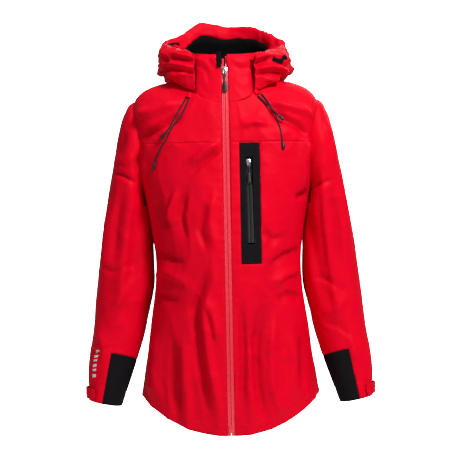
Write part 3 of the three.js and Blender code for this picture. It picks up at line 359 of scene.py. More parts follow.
def grid(columns, rows, place):
    """A grid laid over place(u, v), with u and v from 0 to 1."""
    bm = bmesh.new()
    bmesh.ops.create_grid(bm, x_segments=columns, y_segments=rows, size=0.5)
    flat = coordinates(bm)[:, :2] + 0.5
    uv = bm.loops.layers.uv.new("UVMap")
    for face in bm.faces:
        for loop in face.loops:
            loop[uv].uv = (loop.vert.co.x + 0.5, loop.vert.co.y + 0.5)
    put(bm, place(flat[:, 0], flat[:, 1]))
    return bm


def face_out(bm, middle=None):
    """Turns the faces away from the middle, or from each face's own point of a middle line."""
    bm.normal_update()
    centre = coordinates(bm).mean(axis=0) if middle is None else None
    vote = 0.0
    for face in bm.faces:
        c = face.calc_center_median()
        m = Vector(centre) if middle is None else Vector(middle(c))
        vote += face.normal.dot(c - m) * face.calc_area()
    if vote < 0:
        bmesh.ops.reverse_faces(bm, faces=bm.faces)
    bm.normal_update()


def close_up(bm, distance=0.02):
    bmesh.ops.remove_doubles(bm, verts=bm.verts, dist=distance)
    bmesh.ops.dissolve_degenerate(bm, edges=bm.edges, dist=distance / 4)


def solid_out(bm):
    bmesh.ops.recalc_face_normals(bm, faces=bm.faces)


def slice_at(bm, point, normal, test=None):
    """New edge loops where a plane crosses the mesh, in the faces that pass the test."""
    faces = [f for f in bm.faces if test is None or test(f.calc_center_median())]
    geometry = set(faces)
    for f in faces:
        geometry.update(f.verts)
        geometry.update(f.edges)
    bmesh.ops.bisect_plane(bm, geom=list(geometry), dist=1e-4, plane_co=point, plane_no=normal)


def keep_home(bm):
    """Stores where each point lies before the folds move it."""
    home = bm.verts.layers.float_vector.new("home")
    for vertex in bm.verts:
        vertex[home] = vertex.co


def part_of(base, keep):
    """A copy of the base with only the faces whose home middle passes the test."""
    bm = base.copy()
    home = bm.verts.layers.float_vector["home"]
    lost = []
    for face in bm.faces:
        middle = sum((v[home] for v in face.verts), Vector()) / len(face.verts)
        if not keep(middle):
            lost.append(face)
    bmesh.ops.delete(bm, geom=lost, context="FACES")
    return bm


def lathe_tube(line, radii, sides=10, squash=1.0, turn=0.0, square=2.0, closed=False):
    """A closed round or flattened tube along a line, with a radius at each point."""
    line = [Vector(p) for p in line]
    count = len(line)
    frames = []
    up = Vector((0, -1, 0))
    for i, point in enumerate(line):
        before = line[i - 1] if i or closed else line[i]
        after = line[(i + 1) % count] if i + 1 < count or closed else line[i]
        forward = (after - before).normalized()
        aside = forward.cross(up)
        aside = aside.normalized() if aside.length > 1e-4 else Vector((1, 0, 0))
        frames.append((point, aside, aside.cross(forward).normalized()))

    def place(u, v):
        points = []
        for a, b in zip(u, v):
            k = min(int(round(b * (count if closed else count - 1))), count if closed else count - 1) % count
            point, aside, over = frames[k]
            angle = 2 * math.pi * a + turn
            radius = radii[k] if hasattr(radii, "__len__") else radii
            c, s = math.cos(angle), math.sin(angle)
            c, s = (math.copysign(abs(q) ** (2 / square), q) for q in (c, s))
            points.append(point + aside * radius * c + over * radius * squash * s)
        return [tuple(p) for p in points]

    bm = grid(sides, count if closed else count - 1, place)
    close_up(bm)
    if not closed:
        bmesh.ops.holes_fill(bm, edges=[e for e in bm.edges if e.is_boundary], sides=0)
    solid_out(bm)
    return bm


def joined(parts):
    """One mesh from several, which are used up."""
    whole = bmesh.new()
    for bm in parts:
        mesh = bpy.data.meshes.new("part")
        bm.to_mesh(mesh)
        bm.free()
        whole.from_mesh(mesh)
        bpy.data.meshes.remove(mesh)
    return whole


def piece(name, bm, materials, body="garment", slot=None, nodes=(), smooth=True):
    """An object in metres in the jacket's frame, which rides on a body and stands for CAD nodes."""
    bmesh.ops.transform(bm, matrix=Matrix.Scale(MM, 4) @ Matrix.Translation(Vector(NECK)), verts=bm.verts)
    for face in bm.faces:
        face.smooth = smooth
    mesh = bpy.data.meshes.new(name)
    bm.to_mesh(mesh)
    bm.free()
    for material in materials if isinstance(materials, (list, tuple)) else [materials]:
        mesh.materials.append(finish_named(material))
    obj = bpy.data.objects.new(name, mesh)
    bpy.context.scene.collection.objects.link(obj)
    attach(obj, body)
    if nodes:
        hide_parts(*nodes)
    return obj


def cloth(name, bm, materials, flat, thickness=1.3, held="hung", body="garment", slot="red_shell", nodes=(), rests_on=(),
    bevel=0.0):
    """A sheet of cloth with its wall inside the drawn face; flat is the size it was cut to."""
    area = sum(f.calc_area() for f in bm.faces) * MM * MM
    obj = piece(name, bm, materials, body, slot, nodes)
    wall = obj.modifiers.new("Wall", "SOLIDIFY")
    wall.thickness = thickness * MM
    wall.offset = -1
    wall.use_rim = True
    wall.material_offset = 1 if isinstance(materials, (list, tuple)) and len(materials) > 1 else 0
    if bevel:
        edge = obj.modifiers.new("Soft edge", "BEVEL")
        edge.width, edge.segments, edge.limit_method, edge.angle_limit = bevel * MM, 2, "ANGLE", math.radians(50)
    share = area / (flat[0] * flat[1])
    print("SHEET", name, "flat", flat, "area %.4f" % area, "share %.2f" % share)
    list(rests_on)
    return obj


# ---- Settings ---------------------------------------------------------------

class JacketColours(bpy.types.PropertyGroup):
    shell: bpy.props.FloatVectorProperty(name="Shell", description="Face cloth of the jacket", subtype="COLOR", size=3, min=0,
        max=1, default=(0.80, 0.0, 0.017))
    shell_shade: bpy.props.FloatVectorProperty(name="Shell shade", description="Face cloth where it is worn darker",
        subtype="COLOR", size=3, min=0, max=1, default=(0.46, 0.0, 0.010))
    panel: bpy.props.FloatVectorProperty(name="Panels", description="Stretch cloth of the pocket and forearms", subtype="COLOR",
        size=3, min=0, max=1, default=(0.003, 0.0028, 0.0034))
    lining: bpy.props.FloatVectorProperty(name="Lining", description="Backer, facings and flap", subtype="COLOR", size=3, min=0,
        max=1, default=(0.004, 0.004, 0.0044))
    coating: bpy.props.FloatVectorProperty(name="Zip coating", description="Coated lips of the front zip", subtype="COLOR",
        size=3, min=0, max=1, default=(0.82, 0.03, 0.055))
    cord: bpy.props.FloatVectorProperty(name="Cord", description="Hood cords", subtype="COLOR", size=3, min=0, max=1,
        default=(0.006, 0.006, 0.007))
    metal: bpy.props.FloatVectorProperty(name="Zip metal", description="Sliders and wire bails", subtype="COLOR", size=3, min=0,
        max=1, default=(0.62, 0.62, 0.64))


class JacketSizes(bpy.types.PropertyGroup):
    cloth: bpy.props.FloatProperty(name="Cloth", description="Wall of the face cloth with its backer", default=1.3 * MM,
        min=0.4 * MM, max=2.4 * MM, precision=4, subtype="DISTANCE", unit="LENGTH")
    creases: bpy.props.FloatProperty(name="Creases", description="Height of the creases against the worn jacket's", default=1.0,
        min=0.0, max=1.5, subtype="FACTOR")
    stitch: bpy.props.FloatProperty(name="Stitch pitch", description="Distance from one stitch to the next", default=3.6 * MM,
        min=2 * MM, max=8 * MM, precision=4, subtype="DISTANCE", unit="LENGTH")
    cord: bpy.props.FloatProperty(name="Cord", description="Diameter of the hood cords", default=3.0 * MM, min=2 * MM, max=4 * MM,
        precision=4, subtype="DISTANCE", unit="LENGTH")
    colours: bpy.props.PointerProperty(type=JacketColours, name="Colours", description="Colours of the finishes")


def sizes():
    return bpy.context.scene.jacket


# ---- Finishes ---------------------------------------------------------------

def group(name, inputs, outputs):
    tree = bpy.data.node_groups.new(name, "ShaderNodeTree")
    for label, kind, value in inputs:
        socket = tree.interface.new_socket(name=label, in_out="INPUT", socket_type=kind)
        if value is not None:
            socket.default_value = value
    for label, kind in outputs:
        tree.interface.new_socket(name=label, in_out="OUTPUT", socket_type=kind)
    return tree, tree.nodes.new("NodeGroupInput"), tree.nodes.new("NodeGroupOutput")


def node(tree, kind, values=None, **links):
    made = tree.nodes.new(kind)
    for key, value in (values or {}).items():
        if key in made.inputs:
            made.inputs[key].default_value = value
        else:
            setattr(made, key, value)
    for key, source in links.items():
        tree.links.new(source, made.inputs[key.replace("_", " ")])
    return made


def maths(tree, operation, first, second=None):
    made = tree.nodes.new("ShaderNodeMath")
    made.operation = operation
    for socket, value in zip(made.inputs, (first, second)):
        if value is None:
            continue
        if isinstance(value, (int, float)):
            socket.default_value = value
        else:
            tree.links.new(value, socket)
    return made.outputs[0]


def mixed(tree, share, first, second):
    made = tree.nodes.new("ShaderNodeMix")
    made.data_type = "RGBA"
    for socket, value in ((made.inputs[0], share), (made.inputs[6], first), (made.inputs[7], second)):
        if isinstance(value, (int, float, tuple)):
            socket.default_value = value
        else:
            tree.links.new(value, socket)
    return made.outputs[2]


def cloth_face_group():
    """Colour drift, painted shade in fold valleys, fine rumples and thread grain of a woven face."""
    tree, inside, out = group(
        "Cloth face",
        [("Colour", "NodeSocketColor", (0.5, 0, 0, 1)), ("Shade", "NodeSocketColor", (0.3, 0, 0, 1)),
            ("Drift", "NodeSocketFloat", 0.5),
         ("Rumple", "NodeSocketFloat", 0.3), ("Grain", "NodeSocketFloat", 0.15), ("Roughness", "NodeSocketFloat", 0.5)],
        [("Colour", "NodeSocketColor"), ("Roughness", "NodeSocketFloat"), ("Normal", "NodeSocketVector")],
    )
    place = tree.nodes.new("ShaderNodeTexCoord").outputs["Object"]
    broad = node(tree, "ShaderNodeTexNoise", {"Scale": 9.0, "Detail": 4.0, "Roughness": 0.6}, Vector=place).outputs["Fac"]
    fine = node(tree, "ShaderNodeTexNoise", {"Scale": 60.0, "Detail": 6.0, "Roughness": 0.62, "Distortion": 0.4},
        Vector=place).outputs["Fac"]
    thread = node(tree, "ShaderNodeTexNoise", {"Scale": 1900.0, "Detail": 2.0, "Roughness": 0.5}, Vector=place).outputs["Fac"]
    share = maths(tree, "MULTIPLY",
        maths(tree, "ADD", maths(tree, "MULTIPLY", broad, 0.65), maths(tree, "MULTIPLY", thread, 0.35)), inside.outputs["Drift"])
    # Painted shade: the colour is mixed towards black in fold valleys, by the share that draped() stores on the mesh.
    painted_fold_shade = node(tree, "ShaderNodeAttribute", {"attribute_name": "painted_fold_shade"}).outputs["Fac"]
    tree.links.new(mixed(tree, painted_fold_shade, mixed(tree, share, inside.outputs["Colour"], inside.outputs["Shade"]), (0.0, 0.0, 0.0, 1.0)),
        out.inputs["Colour"])
    rough = maths(tree, "ADD", inside.outputs["Roughness"], maths(tree, "MULTIPLY", maths(tree, "SUBTRACT", fine, 0.5), 0.16))
    tree.links.new(rough, out.inputs["Roughness"])
    rumple = node(tree, "ShaderNodeBump", {"Distance": 0.0022}, Height=fine, Strength=inside.outputs["Rumple"])
    grain = node(tree, "ShaderNodeBump", {"Distance": 0.00012}, Height=thread, Strength=inside.outputs["Grain"],
        Normal=rumple.outputs["Normal"])
    tree.links.new(grain.outputs["Normal"], out.inputs["Normal"])
    return tree


def knit_group():
    """Small diagonal ribs, as on stretch cloth, tape and braid."""
    tree, inside, out = group(
        "Ribbed threads",
        [("Colour", "NodeSocketColor", (0.01, 0.01, 0.01, 1)), ("Light", "NodeSocketColor", (0.03, 0.03, 0.03, 1)),
            ("Pitch", "NodeSocketFloat", 900.0), ("Depth", "NodeSocketFloat", 0.5)],
        [("Colour", "NodeSocketColor"), ("Normal", "NodeSocketVector")],
    )
    place = tree.nodes.new("ShaderNodeTexCoord").outputs["Object"]
    waves = []
    for turn in (0.6, -0.6):
        turned = node(tree, "ShaderNodeMapping", {"Rotation": (turn * 0.3, turn, 0.2)}, Vector=place).outputs["Vector"]
        waves.append(node(tree, "ShaderNodeTexWave", {"bands_direction": "Z", "Distortion": 0.6, "Detail": 1.0}, Vector=turned,
            Scale=inside.outputs["Pitch"]).outputs["Fac"])
    rib = maths(tree, "MAXIMUM", *waves)
    tree.links.new(mixed(tree, rib, inside.outputs["Colour"], inside.outputs["Light"]), out.inputs["Colour"])
    bump = node(tree, "ShaderNodeBump", {"Distance": 0.0003}, Height=rib, Strength=inside.outputs["Depth"])
    tree.links.new(bump.outputs["Normal"], out.inputs["Normal"])
    return tree


def handled_group():
    """Hairlines and dulled patches on metal, plastic and coatings."""
    tree, inside, out = group(
        "Handled surface",
        [("Roughness", "NodeSocketFloat", 0.3), ("Wear", "NodeSocketFloat", 0.15), ("Scale", "NodeSocketFloat", 400.0),
            ("Depth", "NodeSocketFloat", 0.1)],
        [("Roughness", "NodeSocketFloat"), ("Normal", "NodeSocketVector")],
    )
    place = tree.nodes.new("ShaderNodeTexCoord").outputs["Object"]
    spots = node(tree, "ShaderNodeTexNoise", {"Detail": 5.0, "Roughness": 0.6}, Vector=place,
        Scale=inside.outputs["Scale"]).outputs["Fac"]
    tree.links.new(maths(tree, "ADD", inside.outputs["Roughness"],
        maths(tree, "MULTIPLY", maths(tree, "SUBTRACT", spots, 0.5), inside.outputs["Wear"])), out.inputs["Roughness"])
    bump = node(tree, "ShaderNodeBump", {"Distance": 0.0002}, Height=spots, Strength=inside.outputs["Depth"])
    tree.links.new(bump.outputs["Normal"], out.inputs["Normal"])
    return tree


def shared(name, make):
    return bpy.data.node_groups.get(name) or make()


def rgba(colour, gain=1.0):
    return tuple(min(1.0, c * gain) for c in colour) + (1.0,)


def base_material(name, **values):
    material = bpy.data.materials.new(name)
    material.use_nodes = True
    shader = material.node_tree.nodes["Principled BSDF"]
    for key, value in values.items():
        shader.inputs[key.replace("_", " ")].default_value = value
    material.diffuse_color = rgba((0.5, 0.5, 0.5))
    return material, material.node_tree, shader


def placed_group(tree, name, make, values):
    made = tree.nodes.new("ShaderNodeGroup")
    made.node_tree = shared(name, make)
    for key, value in values.items():
        made.inputs[key].default_value = value
    return made


def woven(name, colour, shade, drift, rumple, grain, roughness, **values):
    material, tree, shader = base_material(name, **values)
    face = placed_group(tree, "Cloth face", cloth_face_group,
        {"Colour": rgba(colour), "Shade": rgba(shade), "Drift": drift, "Rumple": rumple, "Grain": grain, "Roughness": roughness})
    tree.links.new(face.outputs["Colour"], shader.inputs["Base Color"])
    tree.links.new(face.outputs["Roughness"], shader.inputs["Roughness"])
    tree.links.new(face.outputs["Normal"], shader.inputs["Normal"])
    return material


def ribbed(name, colour, light, pitch, depth, **values):
    material, tree, shader = base_material(name, **values)
    face = placed_group(tree, "Ribbed threads", knit_group,
        {"Colour": rgba(colour), "Light": rgba(light), "Pitch": pitch, "Depth": depth})
    tree.links.new(face.outputs["Colour"], shader.inputs["Base Color"])
    tree.links.new(face.outputs["Normal"], shader.inputs["Normal"])
    return material


def handled(name, colour, roughness, wear, scale, depth, **values):
    material, tree, shader = base_material(name, **values)
    face = placed_group(tree, "Handled surface", handled_group,
        {"Roughness": roughness, "Wear": wear, "Scale": scale, "Depth": depth})
    shader.inputs["Base Color"].default_value = rgba(colour)
    tree.links.new(face.outputs["Roughness"], shader.inputs["Roughness"])
    tree.links.new(face.outputs["Normal"], shader.inputs["Normal"])
    return material


def finish_named(name):
    """The finish of that name, made the first time that it is asked for."""
    ready = bpy.data.materials.get(name)
    if ready:
        return ready
    c = sizes().colours
    makers = {
        "Red shell cloth": lambda n: woven(n, c.shell, c.shell_shade, 0.5, 0.4, 0.25, 0.52, Specular_IOR_Level=0.05),
        "Black stretch cloth": lambda n: ribbed(n, c.panel, tuple(3.0 * v for v in c.panel), 260.0, 0.5, Roughness=0.85,
            Specular_IOR_Level=0.05),
        "Black lining": lambda n: woven(n, c.lining, tuple(0.55 * v for v in c.lining), 0.8, 0.3, 0.3, 0.78,
            Specular_IOR_Level=0.06),
        "Hook and loop pile": lambda n: ribbed(n, c.panel, tuple(4.0 * v for v in c.panel), 420.0, 1.0, Roughness=0.95,
            Specular_IOR_Level=0.1),
        "Red zip coating": lambda n: handled(n, c.coating, 0.26, 0.12, 90.0, 0.12, Coat_Weight=0.35, Coat_Roughness=0.15),
        "Black zip coating": lambda n: handled(n, (0.012, 0.012, 0.013), 0.24, 0.14, 90.0, 0.12, Coat_Weight=0.4,
            Coat_Roughness=0.18),
        "Zip coil": lambda n: ribbed(n, (0.01, 0.01, 0.011), (0.05, 0.05, 0.05), 520.0, 1.0, Roughness=0.45),
        "Zip metal": lambda n: handled(n, c.metal, 0.3, 0.2, 900.0, 0.1, Metallic=1.0),
        "Moulded black": lambda n: handled(n, (0.006, 0.006, 0.0065), 0.42, 0.16, 700.0, 0.2),
        "Hood cord": lambda n: ribbed(n, c.cord, tuple(3.4 * v for v in c.cord), 420.0, 0.8, Roughness=0.75,
            Specular_IOR_Level=0.2),
        "Reflective print": lambda n: handled(n, (0.78, 0.78, 0.80), 0.32, 0.1, 1200.0, 0.15, Metallic=0.25),
        "Red thread": lambda n: ribbed(n, tuple(0.75 * v for v in c.shell), c.shell, 900.0, 0.6, Roughness=0.55),
        "Pale studio": lambda n: handled(n, (0.86, 0.86, 0.86), 0.85, 0.05, 3.0, 0.0, Specular_IOR_Level=0.1),
    }
    return makers[name](name)


# ---- Builders ---------------------------------------------------------------

BASES = {}  # undisplaced surfaces that other pieces are laid on


def tree_of(bm):
    return BVHTree.FromBMesh(bm)


def hit(tree, origin, direction):
    place, normal, _, _ = tree.ray_cast(Vector(origin), Vector(direction))
    return place, normal


def nearest(tree, points):
    """Distance of each point to a surface, and whether the point lies behind it."""
    away, behind = np.zeros(len(points)), np.zeros(len(points), bool)
    for i, p in enumerate(points):
        place, normal, _, distance = tree.find_nearest(Vector(p))
        away[i] = distance
        behind[i] = (Vector(p) - place).dot(normal) < 0
    return away, behind


def plain_torso():
    places = even_places(lambda p: ring_point(TORSO, p, np.full_like(p, 48.0)), 0, len(TORSO) - 1, 151)
    turns = even_places(lambda d: ring_point(TORSO, np.full_like(d, 8.0), d), 0.0, 360.0, 217)
    bm = grid(216, 150, lambda u,
        v: ring_point(TORSO, np.interp(v, np.linspace(0, 1, 151), places), np.interp(u, np.linspace(0, 1, 217), turns)))
    face_out(bm, lambda c: (0, 0, c.z))
    return bm


def plain_sleeve(side):
    places = even_places(lambda p: sleeve_point(side, p, np.zeros_like(p)), 0, CUFF, 141)
    turns = even_places(lambda d: sleeve_point(side, np.full_like(d, 5.0), d), -180.0, 180.0, 85)
    bm = grid(84, 140, lambda u,
        v: sleeve_point(side, np.interp(v, np.linspace(0, 1, 141), places), np.interp(u, np.linspace(0, 1, 85), turns)))
    close_up(bm, 0.05)
    face_out(bm, lambda c: (side * 208, 8, c.z))
    return bm


def bases():
    if not BASES:
        torso = plain_torso()
        BASES["torso"] = tree_of(torso)
        torso.free()
        for side in (1, -1):
            sleeve = plain_sleeve(side)
            BASES[side] = tree_of(sleeve)
            sleeve.free()
    return BASES


def torso_lift(home, normals):
    """Folds, creases and sewn grooves of the body, at points of its plain surface."""
    x, y, z = home.T
    front = y < SIDE_SEAM
    calm = np.where(front, 0.12 + 0.88 * step(np.abs(x), 9, 34), 1.0)
    calm *= 0.15 + 0.85 * step(-z, 12, 60)
    side = 0.35 + 0.65 * np.abs(normals[:, 1])
    pocket = np.where(front & (x > 20) & (x < 68) & (z > -360) & (z < -120), 0.5, 1.0)
    hem = 1 + 0.5 * step(-z, 420, 640)
    lift = crumple(home, 0.8, 3) * calm * side * pocket * hem
    lift += 3.0 * folds(home, normals, TORSO_FOLDS) * (1 + 0.5 * step(home[:, 2], -190, -120)) * np.where(front,
        0.3 + 0.7 * step(np.abs(x), 8, 22), 0)
    lift *= sizes().creases
    lift += np.where(front, groove(z - YOKE_SEAM, 0.7) + groove(np.abs(x) - CHANNEL, 0.7, 2.0), 0)
    lift += groove(y - SIDE_SEAM, 0.9, 1.4)
    near_zip = np.where(front, np.exp(-((np.abs(x) - 13) / 8) ** 2), 0)
    lift += 0.35 * near_zip * np.sin(z / 3.1 + np.sin(z / 17)) * step(-z, 60, 120)
    left, right, bottom, top = POCKET
    inside_x = (x > left - 3) & (x < right + 3) & front
    inside_z = (z > bottom - 3) & (z < top + 3) & front
    for edge in (left, right):
        lift += np.where(inside_z, groove(x - edge, 0.9, 1.3), 0)
    for edge in (bottom, top):
        lift += np.where(inside_x, groove(z - edge, 0.9, 1.3), 0)
    lift += groove(hem_height(home) - 14, 0.6, 1.6) + groove(hem_height(home) - 30, 0.35, 1.6)
    return lift


def hem_height(home):
    """How far each point lies above the hem, along the cloth."""
    _, y, z = home.T
    _, _, _, _, front, side, rear = TORSO[-1]
    ahead = np.clip(np.abs(y) / 130, 0, 1)
    low = np.where(y < 0, front, rear)
    return z - (low * ahead ** 2 + side * (1 - ahead ** 2))


# Painted shade in fold valleys: the depth where it starts, the depth where it is full, and its largest share.
PAINTED_SHADE_FROM, PAINTED_SHADE_REACH, PAINTED_SHADE_MOST = 0.5, 26.0, 0.12  # depth where a fold starts to darken, depth to full, and the most


def draped(bm, lift_at, extra=None):
    """Keeps each point's home, stores painted shade that darkens the folds' valleys, and moves it along its normal."""
    keep_home(bm)
    home, normals = coordinates(bm), normals_of(bm)
    lift = lift_at(home, normals)
    # Painted shade: the deeper a point sinks into a fold, the darker its colour is painted, up to a small share.
    painted_fold_shade = bm.verts.layers.float.new("painted_fold_shade")
    for vertex, depth in zip(bm.verts, lift):
        vertex[painted_fold_shade] = min(max((-depth - PAINTED_SHADE_FROM) / PAINTED_SHADE_REACH, 0.0), PAINTED_SHADE_MOST)
    moved = home + normals * lift[:, None]
    put(bm, moved if extra is None else extra(home, moved))
    bm.normal_update()


def parted(points, tuck=0.0):
    """Above the front slider the two edges part, and the right one curls away; tuck hides the zip's lips."""
    x = points[:, 0]
    open_share = step(points[:, 2], SLIDER_HEIGHT + 3, 36) * step(-points[:, 1], 60, 90)
    right = np.exp(-((x + CHANNEL) / 20) ** 2)
    left = np.exp(-((x - CHANNEL) / 15) ** 2)
    moved = points.copy()
    moved[:, 0] += np.where(x < 0, -13 * right - tuck, -3.6 * left + tuck) * open_share
    moved[:, 1] += np.where(x < 0, -3.0 * np.exp(-((x + CHANNEL) / 9) ** 2),
        0) * open_share * (tuck == 0) + 0.55 * tuck * open_share
    return moved


class JACKET_OT_stage(bpy.types.Operator):
    """Sets up the camera, soft studio lights, a bright backdrop and a flat pale floor"""
    bl_idname = "jacket.stage"
    bl_label = "Studio"

    def execute(self, context):
        camera = bpy.data.cameras.new("Camera")
        camera.lens, camera.sensor_width, camera.clip_end = 122.8, 36, 30
        obj = bpy.data.objects.new("Camera", camera)
        context.scene.collection.objects.link(obj)
        aim, spot = Vector((0.0045, -0.11, -0.3035)), Vector((0.0045, -3.11, -0.3135))
        obj.location = spot
        obj.rotation_euler = ((aim - spot).to_track_quat("-Z", "Y").to_matrix().to_4x4() @ Matrix.Rotation(math.radians(-1.1), 4,
            "Z")).to_euler()
        context.scene.camera = obj
        context.scene.view_settings.view_transform = "Standard"
        for name, place, target, size, power in (
            ("Key", (1.25, -2.0, 1.8), (0, 0, -0.35), 0.7, 96), ("Fill", (-1.9, -2.9, 0.2), (0, 0, -0.35), 1.6, 12),
            ("Top", (0.0, -0.2, 2.1), (0, 0, -0.2), 1.6, 12), ("Back", (0.6, 2.2, 1.0), (0, 0, -0.2), 1.8, 30),
        ):
            light = bpy.data.lights.new(name, "AREA")
            light.size, light.energy = size, power
            lamp = bpy.data.objects.new(name, light)
            lamp.location = place
            lamp.rotation_euler = (Vector(target) - Vector(place)).to_track_quat("-Z", "Y").to_euler()
            context.scene.collection.objects.link(lamp)
        world = bpy.data.worlds.new("Studio")
        world.use_nodes = True
        tree = world.node_tree
        soft = tree.nodes["Background"]
        soft.inputs["Color"].default_value, soft.inputs["Strength"].default_value = (1.0, 1.0, 1.0, 1), 0.2
        paper = node(tree, "ShaderNodeBackground", {"Strength": 5.0})
        either = node(tree, "ShaderNodeMixShader")
        tree.links.new(tree.nodes.new("ShaderNodeLightPath").outputs["Is Camera Ray"], either.inputs[0])
        tree.links.new(soft.outputs[0], either.inputs[1])
        tree.links.new(paper.outputs[0], either.inputs[2])
        tree.links.new(either.outputs[0], tree.nodes["World Output"].inputs["Surface"])
        context.scene.world = world
        floor = bmesh.new()
        bmesh.ops.create_grid(floor, x_segments=2, y_segments=2, size=1.6)
        bmesh.ops.translate(floor, verts=floor.verts, vec=(0, 0, -1.05))
        mesh = bpy.data.meshes.new("paper_sweep")
        floor.to_mesh(mesh)
        floor.free()
        mesh.materials.append(finish_named("Pale studio"))
        sweep = bpy.data.objects.new("paper_sweep", mesh)
        context.scene.collection.objects.link(sweep)
        return {"FINISHED"}


class JACKET_OT_torso(bpy.types.Operator):
    """Cuts the back, fronts, yokes and pocket panel from one draped body"""
    bl_idname = "jacket.torso"
    bl_label = "Body panels"

    def execute(self, context):
        base = plain_torso()
        front = lambda c: c.y < -20
        for x in (-CHANNEL, CHANNEL):
            slice_at(base, (x, 0, 0), (1, 0, 0), front)
        for z in (YOKE_SEAM - 2.5, YOKE_SEAM, YOKE_SEAM + 2.5):
            slice_at(base, (0, 0, z), (0, 0, 1), lambda c: c.y < SIDE_SEAM + 6)
        for y in (SIDE_SEAM - 2.5, SIDE_SEAM, SIDE_SEAM + 2.5):
            slice_at(base, (0, y, 0), (0, 1, 0))
        left, right, bottom, top = POCKET
        near = lambda c: c.y < 0 and left - 9 < c.x < right + 9 and bottom - 9 < c.z < top + 9
        for x in (left - 2, left, left + 2, right - 2, right, right + 2, POCKET_SLOT[0], POCKET_SLOT[1]):
            slice_at(base, (x, 0, 0), (1, 0, 0), near)
        for z in (bottom - 2, bottom, bottom + 2, top - 2, top, top + 2, POCKET_SLOT[2], POCKET_SLOT[3]):
            slice_at(base, (0, 0, z), (0, 0, 1), near)
        trees = bases()

        def lift_at(home, normals):
            lift = torso_lift(home, normals)
            for side in (1, -1):
                away, _ = nearest(trees[side], home)
                lift *= 0.25 + 0.75 * step(away, 3, 22)
                lift += groove(away, 1.0, 2.6)
            return lift

        draped(base, lift_at)
        home = base.verts.layers.float_vector["home"]
        buried = set()
        for side in (1, -1):
            points = np.array([v[home][:] for v in base.verts])
            away, behind = nearest(trees[side], points)
            buried.update(i for i in np.nonzero(behind & (away > 5))[0]
                          if all(hit(trees[side], points[i], way)[0] for way in ((0, 0, 1), (0, -1, 0), (0, 1, 0), (side, 0, 0))))
        base.verts.ensure_lookup_table()
        bmesh.ops.delete(base, geom=[base.verts[i] for i in buried], context="VERTS")
        BASES["draped torso"] = tree_of(base)

        in_front = lambda c: c.y < SIDE_SEAM and abs(c.x) > CHANNEL - 0.01
        in_pocket = lambda c: c.y < 0 and left < c.x < right and bottom < c.z < top
        in_slot = lambda c: POCKET_SLOT[0] < c.x < POCKET_SLOT[1] and POCKET_SLOT[2] < c.z < POCKET_SLOT[3]
        panels = {
            "back_panel": (lambda c: c.y > SIDE_SEAM, (0.62, 0.73), "red_shell"),
            "left_front_yoke": (lambda c: in_front(c) and c.x > 0 and c.z > YOKE_SEAM, (0.23, 0.19), "red_shell"),
            "right_front_yoke": (lambda c: in_front(c) and c.x < 0 and c.z > YOKE_SEAM, (0.23, 0.19), "red_shell"),
            "left_front_panel": (lambda c: in_front(c) and c.x > 0 and c.z < YOKE_SEAM and not in_pocket(c), (0.29, 0.57),
                "red_shell"),
            "right_front_panel": (lambda c: in_front(c) and c.x < 0 and c.z < YOKE_SEAM, (0.29, 0.57), "red_shell"),
            "chest_pocket_panel": (lambda c: in_pocket(c) and not in_slot(c), (0.04, 0.23), "black_panel_cloth"),
        }
        for name, (keep, flat, slot) in panels.items():
            face = "Black stretch cloth" if slot == "black_panel_cloth" else "Red shell cloth"
            cloth(name, part_of(base, keep), [face, "Black lining"], flat, sizes().cloth / MM, slot=slot, nodes=[name])
        base.free()
        return {"FINISHED"}


def forearm_frame(side):
    """The cuff's centre, the way up the forearm and the way to its outer edge."""
    def centre(place):
        ends = sleeve_point(side, np.array([place, place], float), np.array([0.0, 180.0]))
        return ends.mean(axis=0)
    end = centre(CUFF)
    up = centre(CUFF - 1) - end
    up /= np.linalg.norm(up)
    out = sleeve_point(side, np.array([float(CUFF)]), np.array([0.0]))[0] - end
    out -= up * (out @ up)
    return end, up, out / np.linalg.norm(out)


def sleeve_lift(side, home, normals):
    end, up, out = forearm_frame(side)
    along, across = (home - end) @ up, (home - end) @ out
    calm = 0.25 + 0.75 * step(along, 20, 90)
    lift = crumple(home, 0.75, 11 if side > 0 else 23) * calm * (0.22 + 0.78 * np.abs(normals[:, 1]))
    lift += 1.7 * folds(home, normals, LEFT_SLEEVE_FOLDS if side > 0 else RIGHT_SLEEVE_FOLDS)
    lift *= sizes().creases
    lift += 7.5 * step(-side * normals[:, 0], 0.25, 0.9) * step(-home[:, 2], 190, 250) * step(home[:, 2], -460, -380)
    lift += groove(along - CUFF_BAND, 0.8, 1.5)
    lift += np.where(across < INSERT_EDGE + 4, groove(along - INSERT_LENGTH, 1.0, 1.4), 0)
    lift += np.where(along < INSERT_LENGTH + 2, groove(across - INSERT_EDGE, 1.0, 1.4), 0)
    return lift


